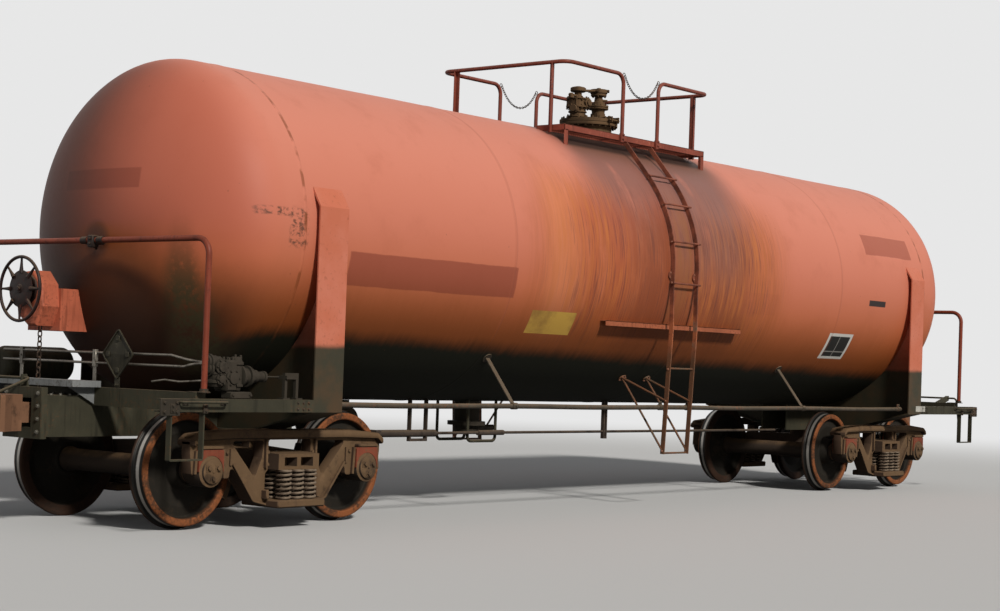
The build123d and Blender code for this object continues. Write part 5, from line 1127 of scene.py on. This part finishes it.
class CAR_OT_trucks(bpy.types.Operator):
    """Side frames, spring nests and the rest of both trucks"""

    bl_idname = "tank_car.trucks"
    bl_label = "Trucks"

    def execute(self, context):
        frame_cast = cast("truck_cast", (0.075, 0.045, 0.028), colours().truck_dust)
        # The springs' pale dust colour also paints the highlights on their coils.
        spring = cast("spring_steel", (0.07, 0.045, 0.03), (0.22, 0.165, 0.115), 0.5)
        for end, truck_x in TRUCKS:
            body = f"truck_{end}"
            frames = self.side_frames(truck_x)
            frames.piece(f"side_castings_{end}", body, "truck_cast", frame_cast, [f"side_frames_{end}"])
            nests = self.spring_nests(truck_x)
            nests.piece(f"spring_nests_{end}", body, "spring_steel", spring, [f"springs_{end}"])
        return {"FINISHED"}

    def side_frames(self, truck_x):
        """A plate with a window on each side of the spring opening, a broad top chord, and flanges that
        follow its edges. Outlines are points (distance from the truck's middle, height above the treads)."""
        middle, face = -1.0075, -1.061
        outline = (
            (0.66, 0.783), (1.02, 0.752), (1.083, 0.705), (1.083, 0.6), (1.06, 0.43), (1.03, 0.43),
            (1.022, 0.63), (0.756, 0.63), (0.74, 0.395), (0.662, 0.395), (0.65, 0.5), (0.401, 0.197),
            (0.17, 0.148),
        )
        chord = ((0.66, 0.783), (1.02, 0.752), (1.083, 0.705), (1.083, 0.64), (1.01, 0.7), (0.64, 0.712))
        opening = ((0.238, 0.7), (0.238, 0.455), (0.268, 0.43), (0.268, 0.222))
        window = np.array(((0.655, 0.69), (0.298, 0.69), (0.312, 0.56), (0.384, 0.395))) + (0, LIFT)
        outline, chord, opening = (
            np.array(half + tuple((-x, z) for x, z in half[::-1])) + (0, LIFT)
            for half in (outline, chord, opening)
        )
        # Edge flanges as points on the middle plane, width and thickness: arm, inner, jaw and outer edge.
        flanges = (
            (((0.636, 0.508), (0.408, 0.21), (0.2, 0.163)), 0.15, 0.018),
            (((0.66, 0.63), (0.66, 0.5)), 0.14, 0.02),
            (((0.748, 0.63), (0.735, 0.405)), 0.16, 0.024),
            (((1.03, 0.62), (1.04, 0.44)), 0.16, 0.024),
        )
        frames = Build(BOTH_SIDES)
        holes = [bent(shape, 0.02, 4, True) for shape in (opening, window, window * (-1, 1))]
        frames.plate([bent(outline, 0.026, 4, True)] + holes, 0.105, (truck_x, middle, 0), bevel=0.009)
        frames.plate([bent(chord, 0.03, 5, True)], 0.22, (truck_x, -1.005, 0), bevel=0.022)
        frames.block((truck_x - 0.27, -1.223, lift(0.156)), (truck_x + 0.27, -0.783, lift(0.22)), 0.012)
        for side in (-1, 1):
            x = truck_x + side * 0.27
            frames.block((x, -1.09, lift(0.47)), (x + side * 0.022, -0.92, lift(0.705)), 0.006)
            frames.block((x, -1.12, lift(0.222)), (x + side * 0.035, -0.9, lift(0.3)), 0.01)
            for points, width, thickness in flanges:
                path = [(truck_x + side * x, middle, lift(z)) for x, z in points]
                frames.strap(bent(path, 0.05, 6), width, thickness, ACROSS)
            inner, outer = truck_x + side * 0.77, truck_x + side * 1.01
            frames.block((inner, -1.11, lift(0.632)), (outer, -0.91, lift(0.66)), 0.008)
            heads = ((0.255, 0.6), (0.255, 0.5), (0.7, 0.6))
            frames.bolts([(truck_x + side * x, face, lift(z)) for x, z in heads], -ACROSS)
        return frames

    def spring_nests(self, truck_x):
        """Helices (r cos t, r sin t, rise) with flat ends, in nests of three by three, one in the other."""
        nests = Build(BOTH_SIDES)
        low, high, pitch = lift(0.222), lift(0.462), 0.142
        spots = np.array(
            [(truck_x + i * pitch, -1.003 + j * pitch, 0) for i in (-1, 0, 1) for j in (-1, 0, 1)]
        )
        # Radius, wire, turns, hand, points in a turn.
        for radius, wire, turns, hand, steps in (
            (0.057, sizes().spring_wire, 7.2, 1, 16),
            (0.03, 0.006, 9.4, -1, 12),
        ):
            t = np.linspace(0, 1, int(turns * steps))
            flat_end = np.clip((t - 0.09) / 0.82, 0, 1)
            z = low + wire + (high - low - 2 * wire) * flat_end
            turn = hand * turns * 2 * math.pi * t
            coil = np.stack((radius * np.cos(turn), radius * np.sin(turn), z), -1)
            nests.tube(coil, wire, 8, copies=spots, flat=UPWARD)
        return nests


class CAR_OT_brake(bpy.types.Operator):
    """Control valve, hand brake wheel and chain, placard frames and air pipes"""

    bl_idname = "tank_car.brake"
    bl_label = "Brake gear and placards"

    def execute(self, context):
        self.control_valve()
        self.wheel()
        self.chain()
        self.placard_frames()
        self.air_pipes()
        return {"FINISHED"}

    def control_valve(self):
        """Round castings are profiles of (place along the axis, radius) turned round it."""
        y = -1.34
        body = Build()
        for low, high, bevel in (
            ((-6.21, -1.44, 1.04), (-5.99, -1.32, 1.095), 0.008),
            ((-6.235, y - 0.07, 1.095), (-6.12, y + 0.085, 1.34), 0.016),
            ((-6.13, y - 0.06, 1.12), (-6.052, y + 0.07, 1.355), 0.02),
            ((-6.345, y - 0.055, 1.15), (-6.225, y + 0.07, 1.33), 0.024),
        ):
            body.block(lifted(low), lifted(high), bevel)
        left = (
            (1.125, 0.03), (1.13, 0.05), (1.155, 0.062), (1.16, 0.074), (1.18, 0.074), (1.185, 0.06),
            (1.22, 0.056), (1.225, 0.072), (1.245, 0.072), (1.25, 0.058), (1.3, 0.056), (1.305, 0.07),
            (1.322, 0.07), (1.326, 0.052), (1.35, 0.046), (1.364, 0.03),
        )
        right = (
            (1.105, 0.04), (1.13, 0.048), (1.135, 0.062), (1.152, 0.062), (1.156, 0.048), (1.3, 0.048),
            (1.305, 0.062), (1.325, 0.062), (1.33, 0.05), (1.355, 0.046), (1.366, 0.026),
        )
        pipe_end = (
            (-6.396, 0.03), (-6.392, 0.05), (-6.372, 0.05), (-6.37, 0.062), (-6.352, 0.062),
            (-6.35, 0.05), (-6.3, 0.05),
        )
        portions = (
            (-6.06, 0.07), (-6.052, 0.086), (-6.03, 0.086), (-6.027, 0.066), (-6.0, 0.062), (-5.977, 0.066),
            (-5.975, 0.084), (-5.952, 0.084), (-5.95, 0.056), (-5.9, 0.05), (-5.872, 0.052), (-5.868, 0.04),
            (-5.8, 0.038), (-5.796, 0.046), (-5.776, 0.044), (-5.77, 0.02),
        )
        body.lathe(np.array(left) + (LIFT, 0), (-6.285, y, 0), UPWARD, 24)
        body.lathe(np.array(right) + (LIFT, 0), (-6.1, y - 0.02, 0), UPWARD, 24)
        for height in (1.32, 1.27):
            body.lathe(pipe_end, (0, y, lift(height)), AHEAD, 20)
        middle = lift(1.215)
        body.lathe(portions, (0, y, middle), AHEAD, 28)
        for x in (-6.03, -5.952):
            body.bolts(ring_of((x, y, middle), AHEAD, 0.072, 6, 0.3), AHEAD, 0.009, 0.016)
        # Covers on the valve's face: x, height, radius, how far each stands out.
        for x, height, radius, stand in (
            (-6.285, 1.285, 0.062, 0.034),
            (-6.285, 1.19, 0.048, 0.028),
            (-6.165, 1.2, 0.07, 0.03),
        ):
            face = np.array((x, y - 0.056, lift(height)))
            cover = (
                (0, radius), (stand * 0.5, radius), (stand * 0.55, radius * 0.72), (stand, radius * 0.66),
                (stand + 0.006, 0.02),
            )
            body.lathe(cover, face, -ACROSS, 24)
            body.bolts(ring_of(face - ACROSS * stand * 0.5, ACROSS, radius * 0.84, 6), -ACROSS, 0.008, 0.014)
        for x in (-6.19, -6.01):
            body.bolts((x, -1.44, lift(1.07)), -ACROSS, 0.012)
        for x, high in ((-6.19, 1.34), (-6.15, 1.34), (-6.07, 1.36)):
            body.bolts(((x, y + 0.02, lift(high)), (x, y - 0.04, lift(high - 0.003))), UPWARD, 0.01, 0.022)
        iron = cast("valve_block_cast", (0.03, 0.026, 0.018), colours().valve_dust, 0.8)
        body.piece("control_valve_body", "car_body", "valve_block_cast", iron, ["control_valve"])

    def wheel(self):
        """A round rim, eight spokes that widen to the hub, and a dished plate turned round the hub's axis."""
        low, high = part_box("hand_brake_wheel")
        hub = np.array((low.x + 0.014, (low.y + high.y) / 2, (low.z + high.z) / 2))
        wheel = Build()
        wheel.tube(ring_of(hub, AHEAD, 0.26, 56), 0.0135, 14, closed=True, flat=AHEAD)
        dish = (
            (-0.002, 0.02), (-0.002, 0.06), (0.004, 0.145), (0.008, 0.152), (0.014, 0.148), (0.012, 0.06),
            (0.012, 0.02),
        )
        wheel.lathe(dish, hub, AHEAD, 48)
        wheel.lathe(((0.05, 0.03), (0.052, 0.1), (0.066, 0.125), (0.08, 0.128)), hub, AHEAD, 10)
        cup = ((-0.008, 0.012), (-0.008, 0.03), (0.004, 0.048), (0.026, 0.052), (0.034, 0.04), (0.08, 0.036))
        wheel.lathe(bent(cup, 0.006, 4), hub, AHEAD, 24)
        wheel.bolts(hub - AHEAD * 0.008, -AHEAD, 0.019, 0.02)
        share = np.linspace(0, 1, 9)[:, None]
        for rim in ring_of((0, 0, 0), AHEAD, 1.0, 8):
            spoke = hub + AHEAD * 0.006 + rim * (0.13 + 0.125 * share)
            wheel.tube(spoke, 0.009 + 0.012 * (1 - share[:, 0]) ** 2, 8, flat=AHEAD)
        dark = weathered("brake_wheel_steel", (0.02, 0.011, 0.009), (0.07, 0.018, 0.012), rough=0.45)
        wheel.piece("brake_wheel", "car_body", "brake_wheel_steel", dark, ["hand_brake_wheel"])

    def chain(self):
        """Links straight down from the hand brake."""
        low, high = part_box("hand_brake_chain")
        x, y = (low.x + high.x) / 2, (low.y + high.y) / 2
        chain = Build()
        chain.links(np.array(((x, y, high.z), (x, y, low.z))), 0.0415, 0.0058, 0.036)
        rusty = weathered("brake_chain_steel", (0.035, 0.022, 0.015), (0.14, 0.06, 0.03), rough=0.6)
        chain.piece("brake_chain", "car_body", "chain_steel", rusty, ["hand_brake_chain"])

    def placard_frames(self):
        """A blank diamond plate with a raised edge and four clips, on a short stem."""
        frames = Build(TURNED)
        centre = np.array((-6.512, -0.453, lift(1.352)))
        half_wide, half_high, clip = 0.19, 0.205, 0.02
        diamond = np.array(((half_wide, 0), (0, half_high), (-half_wide, 0), (0, -half_high)))
        frames.plate([bent(diamond, 0.012, 3, True)], 0.004, centre, ACROSS, UPWARD, 0.001)
        ring = centre - AHEAD * 0.006 + diamond[:, :1] * 0.965 * ACROSS + diamond[:, 1:] * 0.965 * UPWARD
        frames.strap(bent(ring, 0.02, 4, True), 0.012, 0.012, AHEAD, closed=True)
        frames.block((-6.515, -0.483, lift(1.085)), (-6.509, -0.423, lift(1.17)), 0.001)
        frames.bolts(((-6.515, -0.468, lift(1.11)), (-6.515, -0.438, lift(1.11))), -AHEAD, 0.009)
        for y, z in diamond * 0.62:
            frames.block(centre + (-0.014, y - clip, z - clip), centre + (-0.002, y + clip, z + clip), 0.003)
        green, bare = (0.03, 0.026, 0.016), (0.1, 0.09, 0.062)
        plate = weathered("placard_plate", green, bare, dust=0.05, rough=0.6, grain=4.0)
        frames.piece("placard_frames", "car_body", "placard_plate", plate, ["placard_holders"])

    def air_pipes(self):
        """Two pipes across the end that drop to the valve, a thinner one below, and two brackets."""
        pipes = Build()
        x = -6.455
        for start, bends in ((1.36, ((-1.02, 1.36), (-1.2, 1.33))), (1.28, ((-1.17, 1.276), (-1.25, 1.296)))):
            way = [(x, 1.1, start)] + [(x, y, z) for y, z in bends] + [(-6.37, -1.33, 1.31)]
            pipes.tube(bent(lifted(way), 0.1, 8), 0.0105, 14)
        thin = lifted(((x, -0.8, 1.15), (x, -0.95, 1.168), (x, -1.12, 1.158), (-6.36, -1.3, 1.175)))
        pipes.tube(bent(thin, 0.08), 0.008)
        for y in (-0.1, 0.85):
            pipes.block((x - 0.014, y - 0.02, lift(1.245)), (x + 0.016, y + 0.02, lift(1.385)), 0.003)
            pipes.block((x - 0.004, y - 0.02, lift(1.08)), (x + 0.004, y + 0.02, lift(1.25)), 0.002)
            pipes.bolts((x - 0.014, y, lift(1.32)), -AHEAD, 0.009)
        pale, dull = (0.2, 0.18, 0.15), (0.06, 0.05, 0.036)
        bright = weathered("air_pipe_steel", pale, dull, dust=0.05, rough=0.3, metal=0.5)
        pipes.piece("air_lines", "car_body", "air_pipe_steel", bright, ["air_pipes"])


class CAR_OT_side_rails(bpy.types.Operator):
    """Side handrails with their posts and clamps, and the long angles at the ladders"""

    bl_idname = "tank_car.side_rails"
    bl_label = "Side handrails and angles"

    def execute(self, context):
        self.angles()
        self.handrails()
        return {"FINISHED"}

    def angles(self):
        """A flat and an upright leg with small webs between them and the tank."""
        top, face, half_long = lift(1.846), -1.366, 1.24
        shelves = Build(BOTH_SIDES)
        shelves.block((-half_long, face, top - 0.052), (half_long, face + 0.009, top), 0.003)
        shelves.block((-half_long, face, top - 0.009), (half_long, -1.28, top), 0.003)
        for x in (-1.15, -0.4, 0.4, 1.15):
            shelves.block((x - 0.004, face + 0.006, top - 0.05), (x + 0.004, -1.27, top - 0.004), 0.001)
        paint = weathered("side_angle_steel", (0.34, 0.1, 0.045), (0.16, 0.045, 0.025), dust=0.35)
        shelves.piece("tank_side_angles", "car_body", "platform_steel", paint, ["side_angles"])

    def handrails(self):
        """A pipe that hangs by a sine squared between its posts, and straps up to the tank."""
        low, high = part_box("side_handrails")
        y, z, radius = -1.362, lift(1.0), 0.024
        post_x, hang = 2.63, 0.006
        line = np.linspace(low.x, high.x, 40)
        sag = -hang * np.sin(np.abs(line) * math.pi / post_x) ** 2
        rails = Build(BOTH_SIDES)
        rails.tube(np.stack((line, np.full(40, y), z + sag), -1), radius, 16)
        for x in (-post_x, post_x):
            foot = np.array((x, y, z))
            pad = on_tank(x, -44.0)
            out = unit(pad - (x, 0, TANK_Z))
            head = pad + out * 0.004
            web = np.array((0.022, 0.012, 0))
            rails.strap((head, foot), 0.05, 0.012, AHEAD)
            rails.strap((head + web, foot + web), 0.008, 0.03, AHEAD)
            rails.lathe(((-0.01, 0.052), (0.006, 0.052)), pad, out, 16)
            rails.lathe(((-0.035, 0.031), (0.035, 0.031)), foot, AHEAD, 16)
            rails.bolts((x, y - 0.028, z), -ACROSS, 0.011)
        for x in (-0.25, 0.25, low.x + 0.06, high.x - 0.06):
            rails.lathe(((-0.03, 0.03), (0.03, 0.03)), (x, y, z), AHEAD, 16)
            rails.block((x - 0.025, y - 0.008, z + 0.02), (x + 0.025, y + 0.008, z + 0.06), 0.003)
            rails.bolts((x, y - 0.008, z + 0.045), -ACROSS, 0.009)
        steel = weathered("side_rail_pipe", (0.075, 0.06, 0.042), (0.17, 0.07, 0.038), dust=0.35, rough=0.55)
        rails.piece("side_rails", "car_body", "frame_steel", steel, ["side_handrails"])


class CAR_OT_trim(bpy.types.Operator):
    """Bolts, clamps, brackets and small plates"""

    bl_idname = "tank_car.trim"
    bl_label = "Small trim"

    def execute(self, context):
        sill_face = -1.475
        self.sill_fittings(sill_face)
        self.ladder_bolts()
        self.rail_clamp()
        self.blank_plates(sill_face)
        self.draft_sill_bolts()
        return {"FINISHED"}

    def sill_fittings(self, face):
        """Plates with their bolts on the sill's outer face, and a small seat with a round base on top."""
        sills = Build(CORNERS)
        sills.block((6.756, face - 0.011, lift(0.912)), (6.946, face, lift(1.038)), 0.002)
        sills.bolts([(x, face - 0.011, lift(z)) for x in (6.79, 6.91) for z in (0.94, 1.01)], -ACROSS, 0.013)
        for x in (6.505, 6.83):
            stand = face - 0.017
            sills.block((x - 0.022, stand, lift(0.93)), (x + 0.022, face, lift(1.0)), 0.002)
            sills.bolts(((x, stand, lift(0.948)), (x, stand, lift(0.984))), -ACROSS, 0.009)
        for x in (6.32, 6.7):
            stand = face - 0.006
            sills.block((x - 0.03, stand, lift(0.99)), (x + 0.03, face, lift(1.036)), 0.002)
            sills.bolts(((x - 0.018, stand, lift(1.003)), (x + 0.018, stand, lift(1.003))), -ACROSS, 0.008)
        sills.bolts([(x, face, lift(z)) for x in (5.4, 5.46, 5.52) for z in (0.965, 1.015)], -ACROSS, 0.009)
        sills.block((6.44, -1.3, lift(1.085)), (6.54, -1.37, lift(1.091)), 0.001)
        base = ((0, 0.05), (0.008, 0.05), (0.01, 0.034), (0.03, 0.034))
        sills.lathe(base, (6.49, -1.44, lift(1.085)), UPWARD, 20)
        fitting = weathered("fitting_steel", (0.04, 0.032, 0.022), (0.12, 0.055, 0.03), dust=0.3)
        sills.piece("sill_fittings", "car_body", "frame_steel", fitting)

    def ladder_bolts(self):
        """Heads where rungs and braces meet the stiles, and four round each foot on the tank."""
        stile = 0.22
        rungs = Build(CORNERS)
        for angle in (40.0, 26.4, 10.5, -6.0):
            rungs.bolts(on_tank(stile, angle, TANK_RADIUS + 0.03) + (0.007, 0, 0), AHEAD, 0.01, 0.012)
        for angle in (-53.0, -3.0):
            out = unit(on_tank(0.0, angle) - (0, 0, TANK_Z))
            foot = on_tank(stile, angle, TANK_RADIUS + 0.012)
            rungs.bolts(ring_of(foot, out, 0.033, 4, 0.8), out, 0.007, 0.009)
        for height, y in ((0.555, 1.3895), (1.065, 1.4145), (1.388, 1.43)):
            rungs.bolts((0.2275, -y, lift(height)), AHEAD, 0.01, 0.012)
        ladder = bpy.data.materials["ladder_steel"]
        rungs.piece("ladder_bolts", "car_body", "ladder_steel", ladder)

    def rail_clamp(self):
        """Two sleeves on the end handrail with a latch between them."""
        x, outer = -6.49, -6.53
        clamps = Build()
        for y in (-0.16, 0.04):
            clamps.lathe(((-0.035, 0.031), (0.035, 0.031)), (x, y, lift(2.26)), ACROSS, 16)
        clamps.block((-6.5, -0.13, lift(2.225)), (-6.43, 0.02, lift(2.245)), 0.003)
        clamps.tube(((x, -0.06, lift(2.25)), (-6.41, 0.0, lift(2.2))), 0.014, 8)
        clamps.block((outer, -0.1, lift(2.2)), (-6.46, -0.03, lift(2.3)), 0.008)
        clamps.bolts(((outer, -0.065, lift(2.27)), (outer, -0.065, lift(2.23))), -AHEAD, 0.011)
        black = weathered("clamp_steel", (0.022, 0.014, 0.011), (0.09, 0.03, 0.018), rough=0.55)
        clamps.piece("end_rail_clamp", "car_body", "chain_steel", black)

    def blank_plates(self, face):
        """A small blank plate on the sill at each end of one diagonal."""
        plates = Build(TURNED)
        plates.block((5.21, face - 0.003, lift(0.972)), (5.46, face, lift(1.042)), 0.001)
        white = weathered("blank_plate", (0.5, 0.48, 0.42), (0.2, 0.15, 0.1), dust=0.1, rough=0.6, grain=3.0)
        plates.piece("blank_plates", "car_body", "placard_plate", white)

    def draft_sill_bolts(self):
        """Two rows on top of the draft sill and a column on each side of its striker."""
        striker = 7.071
        seats = Build(BOTH_ENDS)
        for y in (-0.16, 0.16):
            seats.bolts([(x, y, lift(1.015)) for x in np.arange(6.56, 7.0, 0.09)], UPWARD, 0.012)
        heads = [(striker, y, lift(z)) for y in (-0.2, 0.2) for z in (0.73, 0.83, 0.93, 1.03)]
        seats.bolts(heads, AHEAD, 0.014)
        seats.piece("draft_sill_bolts", "car_body", "frame_steel", bpy.data.materials["frame_steel"])


class CAR_OT_carried_over(bpy.types.Operator):
    """Finishes of the nodes that keep the frame's own shape"""

    bl_idname = "tank_car.carried_over"
    bl_label = "Frame nodes"

    def execute(self, context):
        tone = colours()
        under = weathered("frame_steel", tone.frame_green, shade(tone.truck_dust, 0.6), dust=0.3, rough=0.7)
        step = weathered("end_step_steel", (0.2, 0.205, 0.2), (0.09, 0.075, 0.055), dust=0.15, rough=0.6)
        end_rail = weathered("end_rail_pipe", tone.rail_red, (0.09, 0.022, 0.014), dust=0.05, rough=0.45)
        brake = weathered("brake_paint", tone.brake_red, shade(tone.tank_red, 0.4), dust=0.05, rough=0.5)
        rod = weathered("brake_rod_steel", (0.06, 0.045, 0.035), (0.12, 0.08, 0.05), rough=0.7)
        by_slot = {
            "frame_steel": under,
            "step_steel": step,
            "ladder_steel": ladder_finish(),
            "bolster_paint": bolster_finish(),
            "coupler_cast": cast("coupler_cast", (0.08, 0.045, 0.028), (0.2, 0.1, 0.055)),
            "railing_pipe": end_rail,
            "brake_paint": brake,
            "valve_block_cast": cast("release_gear_cast", (0.03, 0.026, 0.018), tone.valve_dust),
            "brake_rod_steel": rod,
            "truck_cast": cast("bolster_cast", (0.07, 0.045, 0.03), tone.truck_dust),
            "adapter_cast": weathered("adapter_cast", (0.2, 0.05, 0.026), tone.truck_dust, dust=0.2),
            "brake_beam_steel": cast("brake_beam_steel", (0.05, 0.035, 0.025), (0.13, 0.08, 0.045)),
        }
        by_node = {"grab_irons": under, "brake_step": step}
        slots = {row["node"]: row["material_slot"] for row in frame["record"]["subparts"]}
        for node, made in frame["nodes"].items():
            material = by_node.get(node) or by_slot.get(slots[node])
            if material is not None:
                made.data.materials.clear()
                made.data.materials.append(material)
        return {"FINISHED"}


class CAR_OT_stage(bpy.types.Operator):
    """Floor, backdrop, lamp and camera"""

    bl_idname = "tank_car.stage"
    bl_label = "Stage"

    def execute(self, context):
        scene = context.scene
        scene.view_settings.view_transform = "Standard"
        pale = (0.80, 0.80, 0.80)
        self.floor(scene, pale)
        self.backdrop(scene, pale)
        self.key_lamp(scene)
        self.camera(scene)
        return {"FINISHED"}

    def floor(self, scene, pale):
        """A flat sheet that fades into the backdrop at a distance."""
        reach = 160.0
        corners = [(-reach, -reach, 0), (reach, -reach, 0), (reach, reach, 0), (-reach, reach, 0)]
        mesh = bpy.data.meshes.new("floor")
        mesh.from_pydata(corners, [], [(0, 1, 2, 3)])
        floor = bpy.data.objects.new("floor", mesh)
        scene.collection.objects.link(floor)
        own = Finish("floor_pale")
        away = (own.x * own.x + own.y * own.y) ** 0.5
        seen = own.node("ShaderNodeLightPath", output="Is Camera Ray")
        own.base = own.blend((0.2, 0.2, 0.2), (0.66, 0.66, 0.65), seen)
        mesh.materials.append(own.done(rough=0.9))
        near = Value(own, own.shader.outputs[0])
        far = own.node("ShaderNodeEmission", values={"Color": pale, "Strength": 1.0})
        mix = own.node("ShaderNodeMixShader", values={0: away.rise(11.0, 30.0), 1: near, 2: far})
        own.tree.links.new(mix.socket, own.surface)

    def backdrop(self, scene, pale):
        """Even and pale to the camera and in reflections, and a dim cool light on the car."""
        world = bpy.data.worlds.new("studio")
        scene.world = world
        world.use_nodes = True
        own = Nodes(world.node_tree)
        seen = own.node("ShaderNodeLightPath", output="Is Camera Ray")
        mirrored = own.node("ShaderNodeLightPath", output="Is Glossy Ray")
        light = own.node("ShaderNodeBackground", values={0: (0.93, 0.96, 1.0), 1: 0.15})
        back = own.node("ShaderNodeBackground", values={0: pale, 1: 1.0})
        mix = own.node("ShaderNodeMixShader", values={0: seen.most(mirrored), 1: light, 2: back})
        surface = own.tree.nodes.new("ShaderNodeOutputWorld").inputs["Surface"]
        own.tree.links.new(mix.socket, surface)

    def key_lamp(self, scene):
        """One warm lamp, high on the car's left."""
        light = bpy.data.lights.new("key", "SUN")
        light.energy = 2.95
        light.angle = math.radians(6)
        light.color = (1.0, 0.97, 0.93)
        lamp = bpy.data.objects.new("key", light)
        scene.collection.objects.link(lamp)
        toward = unit(np.array((-0.284, -0.779, 0.559)))
        _, first, second = side_vectors(toward)
        lamp.matrix_world = Matrix(np.stack((first, second, toward), 1).tolist()).to_4x4()

    def camera(self, scene):
        """The photograph's viewpoint: the turn from +Y towards +X, the tilt up and the roll, in degrees."""
        yaw, pitch, roll = math.radians(50.914), math.radians(1.272), math.radians(2.026)
        place = (-16.074, -12.082, lift(1.379))
        level = math.cos(pitch)
        ahead = np.array((math.sin(yaw) * level, math.cos(yaw) * level, math.sin(pitch)))
        right = np.array((math.cos(yaw), -math.sin(yaw), 0.0))
        over = np.cross(right, ahead)
        lean, tip = math.cos(roll), math.sin(roll)
        right, over = lean * right + tip * over, lean * over - tip * right
        lens = bpy.data.cameras.new("camera")
        lens.sensor_width = 36.0
        lens.lens = 67.38
        lens.shift_y = 0.0172
        lens.clip_end = 500.0
        camera = bpy.data.objects.new("camera", lens)
        scene.collection.objects.link(camera)
        turned = Matrix(np.stack((right, over, -ahead), 1).tolist()).to_4x4()
        turned.translation = place
        camera.matrix_world = turned
        scene.camera = camera


OPERATORS = (
    CAR_OT_tank,
    CAR_OT_manway,
    CAR_OT_platform,
    CAR_OT_wheelsets,
    CAR_OT_trucks,
    CAR_OT_brake,
    CAR_OT_side_rails,
    CAR_OT_carried_over,
    CAR_OT_trim,
    CAR_OT_stage,
)


class CAR_PT_panel(bpy.types.Panel):
    """Lists the tank car's pieces"""

    bl_idname = "CAR_PT_panel"
    bl_label = "Tank car"
    bl_space_type = "VIEW_3D"
    bl_region_type = "UI"
    bl_category = "Tank car"

    def draw(self, context):
        for group in (context.scene.tank_car_sizes, context.scene.tank_car_colours):
            for name in group.bl_rna.properties.keys():
                if name not in ("rna_type", "name"):
                    self.layout.prop(group, name)
        for operator in OPERATORS:
            self.layout.operator(operator.bl_idname)


CLASSES = (TankCarSizes, TankCarColours) + OPERATORS + (CAR_PT_panel,)


def register():
    """Registers the classes and hangs the sizes and colours on the scene."""
    for made in CLASSES:
        bpy.utils.register_class(made)
    bpy.types.Scene.tank_car_sizes = bpy.props.PointerProperty(type=TankCarSizes)
    bpy.types.Scene.tank_car_colours = bpy.props.PointerProperty(type=TankCarColours)


def unregister():
    """Undoes what register does."""
    del bpy.types.Scene.tank_car_colours
    del bpy.types.Scene.tank_car_sizes
    for made in reversed(CLASSES):
        bpy.utils.unregister_class(made)


def main():
    """Registers the classes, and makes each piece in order."""
    register()
    for operator in OPERATORS:
        group, name = operator.bl_idname.split(".")
        getattr(getattr(bpy.ops, group), name)()


if __name__ == "__main__":
    main()
